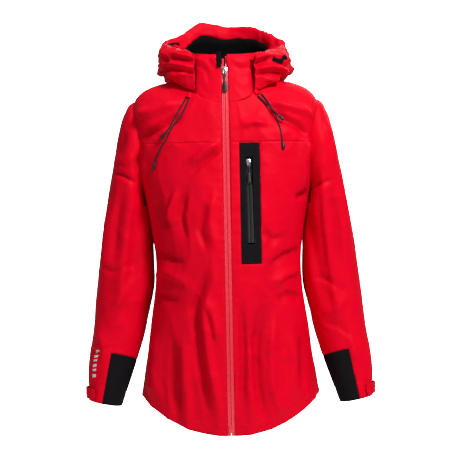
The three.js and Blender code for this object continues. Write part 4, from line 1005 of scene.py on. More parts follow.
class JACKET_OT_sleeves(bpy.types.Operator):
    """Drapes both sleeves and sets the black panels into the forearms"""
    bl_idname = "jacket.sleeves"
    bl_label = "Sleeves"

    def execute(self, context):
        trees = bases()
        for side, name in ((1, "left"), (-1, "right")):
            base = plain_sleeve(side)
            end, up, out = forearm_frame(side)
            low = lambda c: (np.array(c) - end) @ up < INSERT_LENGTH + 8
            for along in (CUFF_BAND, INSERT_LENGTH - 2.5, INSERT_LENGTH, INSERT_LENGTH + 2.5):
                slice_at(base, end + up * along, up)
            for across in (INSERT_EDGE - 2.5, INSERT_EDGE, INSERT_EDGE + 2.5):
                slice_at(base, end + out * across, out, low)

            def lift_at(home, normals):
                lift = sleeve_lift(side, home, normals)
                away, _ = nearest(trees["torso"], home)
                near_armhole = home[:, 2] > -240
                lift *= np.where(near_armhole, 0.25 + 0.75 * step(away, 2, 20), 1)
                return lift + np.where(near_armhole, groove(away, 0.9, 2.6), 0)

            draped(base, lift_at)
            home = base.verts.layers.float_vector["home"]
            points = np.array([v[home][:] for v in base.verts])
            away, behind = nearest(trees["torso"], points)
            base.verts.ensure_lookup_table()
            buried = np.nonzero(behind & (away > 5) & (points[:, 2] > -260))[0]
            bmesh.ops.delete(base, geom=[base.verts[i] for i in buried], context="VERTS")
            BASES["draped sleeve", side] = tree_of(base)
            insert = lambda c: (np.array(c) - end) @ up < INSERT_LENGTH and (np.array(c) - end) @ out < INSERT_EDGE
            cloth(f"{name}_sleeve", part_of(base, lambda c: not insert(c)), ["Red shell cloth", "Black lining"], (0.46, 0.62),
                sizes().cloth / MM, nodes=[f"{name}_sleeve"])
            cloth(f"{name}_forearm_panel", part_of(base, insert), ["Black stretch cloth", "Black lining"], (0.14, 0.13),
                sizes().cloth / MM, slot="black_panel_cloth", nodes=[f"{name}_forearm_panel"])
            base.free()
        return {"FINISHED"}


def plain_collar(offset=0.0, rows=40, columns=170):
    turns = even_places(lambda d: ring_point(COLLAR, np.full_like(d, 1.0), d), 0.0, 360.0, columns + 1)
    bm = grid(columns, rows, lambda u,
        v: ring_point(COLLAR, v * 2.07, np.interp(u, np.linspace(0, 1, columns + 1), turns), offset))
    face_out(bm, lambda c: (0, 0, c.z))
    return bm


def collar_lift(home, normals):
    x, y, z = home.T
    edge = 0.25 + 0.75 * step(np.abs(x), 8, 30)
    lift = crumple(home, 0.42, 41) * np.where(y < 0, edge, 1)
    roll = np.where(y < 0, 45, 54) - z
    lift += 2.4 * np.exp(-((roll - 12) / 16) ** 2) - 1.4 * np.exp(-(roll / 4) ** 2)
    lift += np.where(y < 0, folds(home, normals, COLLAR_FOLDS), 0) * sizes().creases
    lift += np.where(y < 0, groove(np.abs(x) - COLLAR_SEAM, 1.2, 1.6), 0)
    return lift


COLLAR_FOLDS = [
    (1.8, 6, [(-54, 38), (-34, 30), (-24, 8)]), (-1.8, 5, [(-52, 22), (-36, 14), (-30, -14)]),
    (1.6, 6, [(14, 40), (30, 28), (46, 34)]), (-1.6, 5, [(16, 24), (30, 14), (50, 18)]),
    (1.4, 6, [(20, 0), (34, -14), (50, -10)]), (-1.2, 6, [(-50, -8), (-40, -26), (-26, -34)]),
]


class JACKET_OT_collar(bpy.types.Operator):
    """Stands the collar up round the neck, with its lining"""
    bl_idname = "jacket.collar"
    bl_label = "Collar"

    def execute(self, context):
        base = plain_collar()
        front = lambda c: c.y < 0
        for x in (-COLLAR_SEAM - 2, -COLLAR_SEAM, -COLLAR_SEAM + 2, -CHANNEL, CHANNEL, COLLAR_SEAM - 2, COLLAR_SEAM,
            COLLAR_SEAM + 2):
            slice_at(base, (x, 0, 0), (1, 0, 0), front)
        draped(base, collar_lift, lambda home, moved: parted(moved))
        panels = {
            "collar_left": (lambda c: c.y < 0 and CHANNEL < c.x < COLLAR_SEAM, (0.056, 0.098)),
            "collar_right": (lambda c: c.y < 0 and -COLLAR_SEAM < c.x < -CHANNEL, (0.056, 0.098)),
            "collar_back": (lambda c: c.y > 0 or abs(c.x) > COLLAR_SEAM, (0.33, 0.085)),
        }
        for name, (keep, flat) in panels.items():
            cloth(name, part_of(base, keep), ["Red shell cloth", "Black lining"], flat, sizes().cloth / MM, nodes=[name])
        base.free()
        lining = plain_collar(-2.9)
        draped(lining, collar_lift, lambda home, moved: parted(moved))
        kept = part_of(lining, lambda c: c.y > 0 or abs(c.x) > CHANNEL + 6)
        lining.free()
        cloth("collar_lining", kept, "Black lining", (0.46, 0.098), 0.8, slot="black_lining", nodes=["collar_lining"])
        return {"FINISHED"}


def hood_line(columns, end):
    """Places round the collar's foot: their points, the ways out of it and the hood's sizes there."""
    angles = np.linspace(-end, end, columns + 1)
    table = np.array(HOOD, float)
    place = np.interp(np.abs(angles), table[:, 0], np.arange(len(table)))
    rows = smooth_rows(table, place)
    foot = ring_point([COLLAR[2], COLLAR[2]], np.zeros(len(angles)), 180 - angles)
    around = np.gradient(foot, axis=0)
    out = np.stack([around[:, 1], -around[:, 0], np.zeros(len(angles))], axis=1)
    out /= np.linalg.norm(out, axis=1)[:, None]
    out *= np.sign((out * foot).sum(axis=1))[:, None]
    foot[:, 2] = 0
    return angles, foot, out, rows


def hood_sheet(columns, rows, profile_at, end=HOOD[-1][0]):
    """A sheet round the collar whose section at each angle follows profile_at(sizes, floor)."""
    tree = bases()["torso"]
    angles, feet, outs, table = hood_line(columns, end)
    sections = []
    for angle, foot, out, size in zip(angles, feet, outs, table):
        def floor(reach):
            spot = foot + out * reach
            place, _ = hit(tree, (spot[0], spot[1], 300), (0, 0, -1))
            return (place.z if place else 0.0) + 2.0
        outline = np.array(profile_at(angle, size, floor), float)
        fine = even_places(lambda p: smooth_rows(outline, p), 0, len(outline) - 1, rows + 1)
        points = smooth_rows(outline, fine)
        sections.append(foot + out * points[:, :1] + np.array([0, 0, 1]) * points[:, 1:])
    sections = np.array(sections)

    def place(u, v):
        i = np.round(u * columns).astype(int)
        j = np.round(v * rows).astype(int)
        return sections[i, j]

    return grid(columns, rows, place)


def toward(first, second, share):
    return tuple(a + (b - a) * share for a, b in zip(first, second))


def hood_sizes(angle, size):
    """The hood's sizes at an angle: it stands higher on the right, and its sides roll over."""
    _, reach, bulge, middle, rim, rim_reach = size
    rim += np.interp(angle, *zip(*HOOD_RIM_LIFT))
    roll = float(step(abs(angle), 42, 74) * step(-abs(angle), -126, -104))
    return reach, bulge, middle, rim, rim_reach, roll


def hood_outer(angle, size, floor):
    reach, bulge, middle, rim, rim_reach, roll = hood_sizes(angle, size)
    under = np.interp(angle, *zip(*HOOD_UNDER_LIFT))
    low = floor(reach) + under
    shape = [
        toward(((bulge + rim_reach) / 2 + 4, (middle + rim) / 2 + 6), (bulge - 5, rim - 12), roll),
        toward((rim_reach + 2, rim - 5), (bulge - 17, rim + 3), roll),
            toward((rim_reach - 0.5, rim), (bulge - 29, rim - 5), roll),
        toward((rim_reach - 3, rim - 2.5), (max(bulge - 36, 5), rim - 11), roll),
            toward((rim_reach - 6, rim - 14), (max(bulge - 43, 3.5), rim - 24), roll),
        toward((rim_reach - 7, rim - 27), (max(bulge - 43, 3), rim - 38), roll),
    ]
    closed = [(bulge * 0.8, rim - 7), (bulge * 0.52, rim - 1), (bulge * 0.3, rim - 1), (4.5, rim - 3), (2.6, rim - 9),
        (1.6, rim - 16)]
    hug = float(step(abs(angle), 92, 112))
    return [
        (2, floor(2)), (reach * 0.55, floor(reach * 0.55) + 1.5 + 0.6 * under), (reach, low + 3),
            (bulge * 0.93, max(middle - 17, low + 6)),
        (bulge, max(middle, low + 12)),
    ] + [toward(a, b, hug) for a, b in zip(shape, closed)]


def hood_inner(angle, size, floor):
    reach, bulge, middle, rim, rim_reach, roll = hood_sizes(angle, size)
    near = max(2.6, min(7, reach * 0.25))
    ground = floor(near)
    hug = float(step(abs(angle), 92, 112))
    return [toward((max(x, near - 1), max(z, ground + 6)), (near - 0.8, min(max(z, ground + 4), rim - 22)), hug) for x, z in (
        toward((rim_reach - 5.5, rim - 23), (bulge - 41.5, rim - 34), roll),
            toward((rim_reach - 7.5, rim - 36), (bulge - 43, rim - 46), roll),
        toward(((bulge + rim_reach) / 2 - 10, (middle + rim) / 2 - 8), (bulge - 40, rim - 56), roll),
        toward((bulge - 14, max(middle + 2, floor(reach) + 16)), (reach * 0.5, floor(reach * 0.5) + 16), roll),
            (reach * 0.5, floor(reach * 0.5) + 10),
        (near, ground + 9), (near - 1, ground + 26),
    )]


def hood_lift(strength):
    def lift(home, normals):
        x, y, z = home.T
        ends = 0.25 + 0.75 * step(y, -92, -50)
        wave = 5.5 * wander(home, 44, 51, (1, 1, 0.6)) + 3.0 * wander(home, 21, 52, (1, 1, 0.7))
        sharp = np.abs(wander(home, 30, 53, (1.4, 1.4, 0.7)))
        wave += 4.2 * np.exp(-sharp * 8) - 1.4
        high = 1 - 0.6 * step(z, 70, 115) * step(y, 0, 40)
        return (strength * wave * ends * high + 1.35 * folds(home, normals, HOOD_FOLDS) * step(np.abs(x), 44,
            62)) * sizes().creases
    return lift


class JACKET_OT_hood(bpy.types.Operator):
    """Rolls the hood down round the collar, with its brim, lining and adjusters"""
    bl_idname = "jacket.hood"
    bl_label = "Hood"

    def execute(self, context):
        shell = hood_sheet(210, 60, hood_outer)
        face_out(shell, lambda c: (0.62 * c.x, 0.62 * c.y - 8, 20))
        draped(shell, hood_lift(1.0))
        BASES["draped hood"] = tree_of(shell)
        cloth("hood_shell", shell, ["Red shell cloth", "Black lining"], (0.68, 0.30), sizes().cloth / MM, held="gathered",
            nodes=["hood_shell"])
        tree = BASES["draped hood"]
        eye = Vector(PATCHES_SEEN_FROM)
        for name, path, width in HOOD_PATCHES:
            fine = spread(path, 15)
            middle = []
            for x, z in fine:
                ray = (Vector((x, 0, z)) - eye).normalized()
                spot, _ = hit(tree, eye, ray)
                if middle and (spot is None or abs(spot.y - middle[-1].y) > 5):
                    last = middle[-1]
                    spot = tree.find_nearest(Vector((x, last.y, z)))[0]
                middle.append(spot or Vector((x, -60, z)))

            def place(u, v):
                points = []
                for i, across in zip(np.round(u * 14).astype(int), v - 0.5):
                    forward = fine[min(i + 1, 14)] - fine[max(i - 1, 0)]
                    aside = np.array([-forward[1], forward[0]]) / np.hypot(*forward) * across * width
                    spot, normal = tree.find_nearest(middle[i] + Vector((aside[0], 0, aside[1])))[:2]
                    points.append(tuple(spot + normal * (1.5 if normal.y < 0 or normal.z > 0 else -1.5)))
                return points

            patch = grid(14, 6, place)
            face_out(patch, lambda c: (c.x, 400, c.z))
            bmesh.ops.smooth_vert(patch, verts=patch.verts, factor=0.5, use_axis_x=True, use_axis_y=True, use_axis_z=True)
            wide = 0.0115
            cloth(name, patch, "Black stretch cloth",
                (wide, round(max(0.011, sum(f.calc_area() for f in patch.faces) * MM * MM / wide * 1.05), 4)), 0.9,
                    held="stretched", slot="black_panel_cloth")
        inner = hood_sheet(150, 40, hood_inner, 112)
        face_out(inner, lambda c: (1.4 * c.x, 1.4 * c.y - 8, 20))
        draped(inner, hood_lift(0.3))
        cloth("hood_lining", inner, "Black lining", (0.60, 0.26), 0.8, held="gathered", slot="black_lining",
            nodes=["hood_lining"])
        return {"FINISHED"}


def spread(table, count):
    """Values of a table's columns at evenly spread places."""
    table = np.asarray(table, float)
    return smooth_rows(table, np.linspace(0, len(table) - 1, count))


def run_along(across_out, heights, track, after=None):
    """A sheet whose section is drawn across a zip's track and carried down it."""
    outline = np.asarray(across_out, float)

    def place(u, v):
        i = u * (len(outline) - 1)
        j = np.interp(v, np.linspace(0, 1, len(heights)), heights)
        x = np.interp(i, np.arange(len(outline)), outline[:, 0])
        out = np.interp(i, np.arange(len(outline)), outline[:, 1])
        points = track(x, out, j)
        return points if after is None else after(points)

    return grid(len(outline) - 1, len(heights) - 1, place)


def lips(side, drop=0.0, edge=12.0):
    """Section of one coated zip lip: rolled at the slot, ridged over the coil, flat at the edge."""
    knots = [(0.3, -3.3), (0.22, -2.2), (0.45, -1.3), (1.3, -0.85), (2.4, -0.95), (3.3, -1.6), (4.0, -1.65), (4.8, -1.2),
        (5.7, -1.2), (6.6, -1.9), (7.6, -2.9), (edge, -3.3)]
    return [(side * x, out + drop) for x, out in spread(knots, 26)]


def stand_matrix(height, pocket=False):
    """Where a slider stands on its track: its own -y points out of the cloth."""
    angle = math.asin((height - FRONT_HEIGHT) / FRONT_RADIUS)
    track = pocket_track_point if pocket else track_point
    spot = Vector(track(np.array([0.0]), np.array([0.0]), np.array([float(height)]))[0])
    turn = Matrix.Rotation(POCKET_TURN if pocket else 0.0, 4, "Z") @ Matrix.Rotation(-angle, 4, "X")
    return Matrix.Translation(spot) @ turn


def plate(outline, back, front, bevel=0.3):
    """A flat piece from an outline in x and z, between two depths out of the cloth."""
    bm = bmesh.new()
    corners = [bm.verts.new((x, -back, z)) for x, z in outline]
    face = bm.faces.new(corners)
    grown = bmesh.ops.extrude_face_region(bm, geom=[face])
    tips = [g for g in grown["geom"] if isinstance(g, bmesh.types.BMVert)]
    bmesh.ops.translate(bm, verts=tips, vec=(0, back - front, 0))
    solid_out(bm)
    if bevel:
        bmesh.ops.bevel(bm, geom=list(bm.edges), offset=bevel, offset_type="OFFSET", affect="EDGES", segments=2, profile=0.5,
            material=-1)
    solid_out(bm)
    return bm


def moulded(sections, sides=20, square=2.6):
    """A moulded piece down its own z axis, from heights, half widths and half thicknesses, with round ends."""
    table = spread(sections, 40)

    def place(u, v):
        row = smooth_rows(table, v * (len(table) - 1))
        end = np.sqrt(np.clip(1 - np.clip(np.abs(v - 0.5) * 2 - 0.97, 0, 1) / 0.03 * 0.999, 0.0, 1))
        angle = 2 * np.pi * u
        x = row[:, 1] * end * signed_power(np.cos(angle), 2 / square)
        y = row[:, 2] * end * signed_power(np.sin(angle), 2 / square)
        return np.stack([x, y, row[:, 0]], axis=1)

    bm = grid(sides, 46, place)
    close_up(bm, 0.01)
    bmesh.ops.holes_fill(bm, edges=[e for e in bm.edges if e.is_boundary], sides=0)
    solid_out(bm)
    return bm


def make_slider(prefix, height, size, metal, pocket=False):
    """A zip's slider, its wire bail and its moulded cord grip, standing on their track."""
    width, length, drop = size["width"] / 2, size["length"] / 2, size["drop"]
    stand = stand_matrix(height, pocket)
    shield = [(-width * 0.62, length), (-width, length * 0.62), (-width, length * 0.1), (-width * 0.72, -length * 0.75),
        (-width * 0.45, -length),
              (width * 0.45, -length), (width * 0.72, -length * 0.75), (width, length * 0.1), (width, length * 0.62),
                  (width * 0.62, length)]
    top = plate(shield, -0.7 + drop, 0.65 + drop, 0.45)
    under = plate([(x * 0.98, z) for x, z in shield], -8.0 + drop, -6.8 + drop, 0.3)
    post = plate([(-0.38, length * 0.9), (-0.38, length * 0.35), (0.38, length * 0.35), (0.38, length * 0.9)], -7.0 + drop,
        -0.6 + drop, 0.08)
    arch = [(-1.2, 4.0, 0.5 + drop), (-1.2, 3.4, 3.3), (-1.2, 1.6, 4.2), (-1.2, -1.6, 4.2), (-1.2, -3.4, 3.3),
        (-1.2, -4.0, 0.5 + drop)]
    bridge = lathe_tube([(0, -out, z) for _, z, out in spread([(a, b, c) for a, b, c in arch], 18)], 0.95, 10, 1.25, 0.3, 3.0)
    body = joined([top, under, post, bridge])
    bmesh.ops.transform(body, matrix=stand, verts=body.verts)
    piece(f"{prefix}_slider", body, metal, size["slider_body"], "zip_metal", [f"{prefix}_slider"])

    half, bail, wire = size["bail_half"], size["bail"], size["wire"]
    loop = [(-half, 0), (-half * 1.06, -bail * 0.3), (-half * 0.98, -bail * 0.62), (-half * 0.6, -bail * 0.9), (0, -bail),
        (half * 0.6, -bail * 0.9),
            (half * 0.98, -bail * 0.62), (half * 1.06, -bail * 0.3), (half, 0), (half * 0.55, 0.1), (0, 0.15),
                (-half * 0.55, 0.1)]
    wire_loop = lathe_tube([(x, -1.9, z) for x, z in loop], wire, 10, 1.0, 0.0, 2.0, closed=True)
    bmesh.ops.transform(wire_loop, matrix=stand, verts=wire_loop.verts)
    piece(f"{prefix}_pull_bail", wire_loop, metal, size["pull_body"], "zip_metal", [f"{prefix}_pull_bail"])

    foot, neck, tab, pull = -bail - wire - 0.1, size["neck"], size["tab"], size["pull"]
    down = size["neck_length"]
    grip = moulded([
        (foot + 1.6, neck * 1.35, 1.2), (foot - 1.5, neck * 1.5, 1.35), (foot - 4, neck * 0.95, 1.15),
            (foot - down * 0.7, neck * 0.85, 1.05), (foot - down, neck * 1.05, 1.1),
        (foot - down - 3, tab * 0.85, 1.3), (foot - down - 8, tab, 1.35), (foot - pull + 3, tab * 1.1, 1.35),
            (foot - pull, tab * 0.98, 1.2),
    ])
    ribs = [moulded([(z + 0.55, tab * 0.7, 0.3), (z, tab * 0.78, 0.42), (z - 0.55, tab * 0.7, 0.3)],
        12) for z in np.arange(foot - down - 8.5, foot - pull + 3, -2.3)]
    for rib in ribs:
        bmesh.ops.translate(rib, verts=rib.verts, vec=(0, -1.25, 0))
    knot = lathe_tube([(0, 0.2, foot + 1.0), (0, -1.0, foot + 2.2), (0, 0.9, foot + 3.0)], [0.7, 0.8, 0.6], 8)
    whole = joined([grip, knot] + ribs)
    bmesh.ops.translate(whole, verts=whole.verts, vec=(0, -1.9, 0))
    bmesh.ops.transform(whole, matrix=stand, verts=whole.verts)
    piece(f"{prefix}_pull_grip", whole, "Moulded black", size["pull_body"], "moulded_black", [f"{prefix}_pull_grip"])


def coat(node_name, material):
    """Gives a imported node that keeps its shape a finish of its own."""
    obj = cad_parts[node_name]
    obj.data.materials.clear()
    obj.data.materials.append(finish_named(material))


class JACKET_OT_front_zip(bpy.types.Operator):
    """Runs the coated front zip from hem to collar over its storm flap"""
    bl_idname = "jacket.front_zip"
    bl_label = "Front zip"

    def execute(self, context):
        heights = np.linspace(ZIP_TOP, ZIP_BOTTOM - 23, 206)
        for side, name in ((1, "left"), (-1, "right")):
            tape = run_along(lips(side), heights, track_point, lambda points: parted(points, 5.0))
            face_out(tape, lambda c: (c.x, 400, c.z))
            cloth(f"front_zip_tape_{name}", tape, "Red zip coating", (0.0145, 0.694), 0.7, held="stretched",
                slot="red_zip_coating", nodes=[f"front_zip_tape_{name}"])
            coat(f"front_zip_coil_{name}", "Red zip coating")
        box = plate([(-5.4, -7), (-5.4, 6), (-3.6, 7.5), (3.6, 7.5), (5.4, 6), (5.4, -7)], -5.2, -0.2, 0.8)
        bmesh.ops.transform(box, matrix=stand_matrix(ZIP_BOTTOM - 10), verts=box.verts)
        piece("front_zip_box", box, "Red zip coating", "garment", "red_zip_coating", ["front_zip_box"])
        make_slider("front_zip", SLIDER_HEIGHT, {
            "width": 10.4, "length": 14, "drop": 0.0, "bail_half": 2.7, "bail": 9, "wire": 0.7, "neck": 1.7, "neck_length": 13,
                "tab": 4.0, "pull": 34,
            "slider_body": "front_slider", "pull_body": "front_pull",
        }, "Zip metal")
        guard = grid(8, 16, lambda u,
            v: np.stack([-15.0 + 9.0 * u, -3.9 - 0.5 * np.sin(u * math.pi), 14.5 - 30 * v - 5 * u * (1 - u)], axis=1))
        bmesh.ops.transform(guard, matrix=stand_matrix(35), verts=guard.verts)
        face_out(guard, lambda c: (c.x, 400, c.z))
        cloth("front_zip_guard", guard, "Black lining", (0.0105, 0.033), 0.8, held="stretched", slot="black_lining")
        section = [(x, -8.2 - 0.5 * math.sin((x + 22) / 35 * math.pi)) for x in np.linspace(-22, 13, 19)]
        flap = run_along(section, np.linspace(40, ZIP_BOTTOM - 10, 120), track_point)
        face_out(flap, lambda c: (c.x, 400, c.z))
        draped(flap, lambda home, normals: crumple(home, 0.16, 71))
        cloth("front_storm_flap", flap, "Black lining", (0.035, 0.702), 1.0, slot="black_lining", nodes=["front_storm_flap"])
        return {"FINISHED"}


class JACKET_OT_pocket_zip(bpy.types.Operator):
    """Sets the chest pocket's zip over its bag"""
    bl_idname = "jacket.pocket_zip"
    bl_label = "Pocket zip"

    def execute(self, context):
        heights = np.linspace(POCKET_TOP, POCKET_BOTTOM, 60)
        for side, name in ((1, "left"), (-1, "right")):
            tape = run_along(lips(side, POCKET_DROP + 0.5, 10.5), heights, pocket_track_point)
            face_out(tape, lambda c: (c.x, 400, c.z))
            cloth(f"pocket_zip_tape_{name}", tape, "Black zip coating", (0.013, 0.16), 0.6, held="stretched",
                slot="black_zip_coating", nodes=[f"pocket_zip_tape_{name}"])
            coat(f"pocket_zip_coil_{name}", "Zip coil")
        make_slider("pocket_zip", POCKET_SLIDER, {
            "width": 9.0, "length": 12, "drop": POCKET_DROP, "bail_half": 2.3, "bail": 8, "wire": 0.6, "neck": 1.4,
                "neck_length": 12, "tab": 3.3, "pull": 32,
            "slider_body": "pocket_slider", "pull_body": "pocket_pull",
        }, "Zip metal", True)
        bag = run_along([(-16.4, -6.7), (-9.6, -6.2), (-8.2, -8.0), (-7.6, -10.4), (-4, -11), (0, -11.2), (4, -11), (7.6, -10.4),
            (8.2, -8.0), (9.6, -6.2), (16.4, -6.7)],
                        np.linspace(POCKET_TOP + 7, POCKET_BOTTOM - 29, 50), pocket_track_point)
        face_out(bag, lambda c: (c.x, 400, c.z))
        draped(bag, lambda home, normals: crumple(home, 0.14, 73))
        cloth("pocket_bag", bag, "Black lining", (0.045, 0.2), 0.8, slot="black_lining", nodes=["pocket_bag"])
        return {"FINISHED"}


class JACKET_OT_cords(bpy.types.Operator):
    """Hangs the four hood cords, each with its moulded tip, out of their tunnels"""
    bl_idname = "jacket.cords"
    bl_label = "Hood cords"

    def execute(self, context):
        diameter = sizes().cord
        for name, points in CORDS.items():
            route, foot = np.array(points[:-1], float), np.array(points[-1], float)
            line = smooth_rows(route, np.linspace(0, len(route) - 1, 40))
            metres = (line + NECK) * MM
            curve = bpy.data.curves.new(name, "CURVE")
            curve.dimensions, curve.bevel_depth, curve.bevel_resolution, curve.use_fill_caps = "3D", diameter / 2, 4, True
            spline = curve.splines.new("POLY")
            spline.points.add(len(metres) - 1)
            for point, place in zip(spline.points, metres):
                point.co = (*place, 1)
            spline.use_smooth = True
            curve.materials.append(finish_named("Hood cord"))
            cord = bpy.data.objects.new(name, curve)
            context.scene.collection.objects.link(cord)
            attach(cord, "garment")
            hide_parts(name)
            start = line[-1]
            along = (foot - start) / np.linalg.norm(foot - start)
            start = start - along * 0.6
            shares = [0, 0.02, 0.05, 0.2, 0.24, 0.28, 0.6, 0.9, 0.97, 1.0]
            radii = [1.2, 1.75, 1.95, 2.15, 1.95, 2.35, 2.95, 3.35, 3.0, 2.0]
            tip = lathe_tube([start + (foot - start) * s for s in shares], radii, 18)
            end = piece(f"{name}_tip", tip, "Moulded black", "garment", "moulded_black", [f"{name}_tip"])
            run = float(np.linalg.norm(np.diff(metres, axis=0), axis=1).sum())
            print("CORD", name, "%.4f" % run)
            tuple(metres[0])
        for name in ("left", "right"):
            short, long = (np.array(CORDS[f"{name}_cord_{kind}"], float) for kind in ("short", "long"))
            mouth, after = (short[0] + long[0]) / 2, (short[1] + long[1]) / 2
            back = (mouth - after) / np.linalg.norm(mouth - after)
            aside = short[0] - long[0]
            aside -= back * (aside @ back)
            aside /= np.linalg.norm(aside)
            out = np.cross(aside, back)

            def place(u, v):
                angle = 2 * np.pi * u
                run = -1.2 + 10 * v
                flare = 1 + 0.10 * np.exp(-((v - 0.05) / 0.08) ** 2) - 0.25 * v
                across = 5.4 * flare * signed_power(np.cos(angle), 0.75)
                thick = 2.1 * flare * signed_power(np.sin(angle), 0.75) * (1 - 0.3 * np.cos(angle) ** 2)
                return mouth + back * (run + 3.6)[:, None] + aside * across[:, None] + out * thick[:, None]

            tunnel = grid(36, 12, place)
            close_up(tunnel, 0.01)
            solid_out(tunnel)
            cloth(f"{name}_cord_tunnel", tunnel, ["Red shell cloth", "Black lining"], (0.036, 0.0105), 0.8, held="gathered",
                nodes=[f"{name}_cord_tunnel"])
        return {"FINISHED"}


def cuff_strip(side, turns, places, near, columns=48, rows=12, round_end=0.0):
    """A strip laid round the cuff: turns are degrees round its outer side, towards the front."""
    def place(u, v):
        turn = turns[0] + (turns[1] - turns[0]) * u
        tall = np.sqrt(np.clip(1 - (np.clip(u - 1 + round_end, 0, None) / max(round_end, 1e-6)) ** 2.4, 0.16,
            1)) if round_end else np.ones_like(u)
        middle, half = (places[0] + places[1]) / 2, (places[1] - places[0]) / 2
        bow = 0.25 * np.sin(u * 9) * np.cos(v * 5)
        return sleeve_point(side, middle + half * (2 * v - 1) * tall, -turn, near + bow)

    bm = grid(columns, rows, place)
    face_out(bm, lambda c: (side * 243, -14, c.z))
    return bm


class JACKET_OT_cuffs(bpy.types.Operator):
    """Closes each cuff with its tab, its hook and loop patches and a facing"""
    bl_idname = "jacket.cuffs"
    bl_label = "Cuffs"

    def execute(self, context):
        high, low = 8.55, 8.9
        for side, name in ((1, "left"), (-1, "right")):
            loop = cuff_strip(side, (-65, 58), (high + 0.04, low - 0.04), 1.7)
            cloth(f"{name}_cuff_loop_patch", loop, "Hook and loop pile", (0.105, 0.021), 0.9, held="stretched",
                slot="hook_and_loop", nodes=[f"{name}_cuff_loop_patch"])
            hook = cuff_strip(side, (18, 56), (high + 0.04, low - 0.04), 3.1, 16)
            cloth(f"{name}_cuff_hook_patch", hook, "Hook and loop pile", (0.036, 0.021), 0.9, held="stretched",
                body=f"{name}_tab", slot="hook_and_loop", nodes=[f"{name}_cuff_hook_patch"])
            tab = cuff_strip(side, (-65, 62), (high, low), 5.0, 60, 14, 0.09)
            cloth(f"{name}_cuff_tab", tab, "Red shell cloth", (0.115, 0.027), 1.6, held="stretched", body=f"{name}_tab",
                nodes=[f"{name}_cuff_tab"], bevel=0.35)
            threads = []
            for share in (0.1, 0.9):
                line = [sleeve_point(side, np.array([high + (low - high) * share]), np.array([-turn]),
                    5.15)[0] for turn in np.linspace(-61, 52, 34)]
                threads += stitches(line, [Vector(p) - Vector((side * 243, -14, p[2])) for p in line])
            for turn in (-61, 54):
                line = [sleeve_point(side, np.array([place]), np.array([-turn]), 5.15)[0] for place in np.linspace(high + 0.04,
                    low - 0.04, 9)]
                threads += stitches(line, [Vector(p) - Vector((side * 243, -14, p[2])) for p in line])
            piece(f"{name}_tab_stitches", joined(threads), "Red thread", f"{name}_tab")

            def inner(u, v):
                return sleeve_point(side, 8.66 + 0.335 * v, 360 * u - 180, -2.6)

            facing = grid(72, 8, inner)
            close_up(facing, 0.05)
            face_out(facing, lambda c: (side * 243, -14, c.z))
            cloth(f"{name}_cuff_facing", facing, "Black lining", (0.25, 0.028), 0.9, slot="black_lining",
                nodes=[f"{name}_cuff_facing"])
        return {"FINISHED"}


def stitches(line, ups, pitch=None, length=2.3, radius=0.28):
    """Short threads along a line, each a small closed bar that lies on the cloth."""
    pitch = pitch or sizes().stitch / MM
    line = [Vector(p) for p in line]
    run = [0.0]
    for a, b in zip(line, line[1:]):
        run.append(run[-1] + (b - a).length)
    made = []
    for at in np.arange(pitch / 2, run[-1], pitch):
        k = int(np.searchsorted(run, at)) - 1
        k = max(0, min(k, len(line) - 2))
        share = (at - run[k]) / max(run[k + 1] - run[k], 1e-6)
        middle = line[k].lerp(line[k + 1], share)
        forward = (line[k + 1] - line[k]).normalized()
        up = Vector(ups[k]).normalized()
        up = (up - forward * up.dot(forward)).normalized()
        bm = bmesh.new()
        bmesh.ops.create_cone(bm, cap_ends=True, segments=5, radius1=radius, radius2=radius, depth=length * 0.7)
        ends = [f for f in bm.faces if len(f.verts) == 5]
        for face in ends:
            bmesh.ops.inset_individual(bm, faces=[face], thickness=radius * 0.5, depth=radius * 0.5)
        aside = up.cross(forward)
        turn = Matrix((aside, up, forward)).transposed().to_4x4()
        bmesh.ops.transform(bm, matrix=Matrix.Translation(middle + up * radius * 0.3) @ turn, verts=bm.verts)
        made.append(bm)
    return made


def laid_stitches(tree, points, direction, lift=0.05, **kwargs):
    """Stitches along points that are dropped on to a draped surface."""
    line, ups = [], []
    for p in points:
        place, normal = hit(tree, p, direction)
        if place is not None:
            if normal.dot(Vector(direction)) > 0:
                normal = -normal
            line.append(place + normal * lift)
            ups.append(normal)
    return stitches(line, ups, **kwargs) if len(line) > 2 else []


class JACKET_OT_stitching(bpy.types.Operator):
    """Topstitches the yoke, the hem, the pocket panel and the front zip"""
    bl_idname = "jacket.stitching"
    bl_label = "Topstitching"

    def execute(self, context):
        tree = BASES["draped torso"]
        red, black = [], []
        ahead = (0, 1, 0)
        for side in (1, -1):
            for drop in (3.2,):
                red += laid_stitches(tree, [(side * x, -400, YOKE_SEAM + drop) for x in np.arange(14, 168, 3)], ahead)
            red += laid_stitches(tree, [(side * 9.6, -400, z) for z in np.arange(-56, -664, -4)], ahead)
        left, right, bottom, top = POCKET
        corners = [(left + 3, top - 3), (right - 3, top - 3), (right - 3, bottom + 3), (left + 3, bottom + 3),
            (left + 3, top - 3)]
        for (x0, z0), (x1, z1) in zip(corners, corners[1:]):
            black += laid_stitches(tree, [(x0 + (x1 - x0) * t, -400, z0 + (z1 - z0) * t) for t in np.linspace(0, 1, 40)], ahead)
        for x in (POCKET_SLOT[0] - 2.4, POCKET_SLOT[1] + 2.4):
            black += laid_stitches(tree, [(x, -400, z) for z in np.linspace(POCKET_SLOT[3] + 2, POCKET_SLOT[2] - 2, 40)], ahead)
        hem = []
        for degrees in np.linspace(5, 355, 260):
            p = ring_point(TORSO, np.array([12.72]), np.array([degrees]))[0]
            place, normal, _, _ = tree.find_nearest(Vector(p))
            hem.append((place + normal * 0.05, normal))
        red += stitches([p for p, _ in hem], [n for _, n in hem], pitch=4.4)
        piece("red_topstitching", joined(red), "Red thread", "garment")
        piece("black_topstitching", joined(black), "Moulded black", "garment")
        return {"FINISHED"}


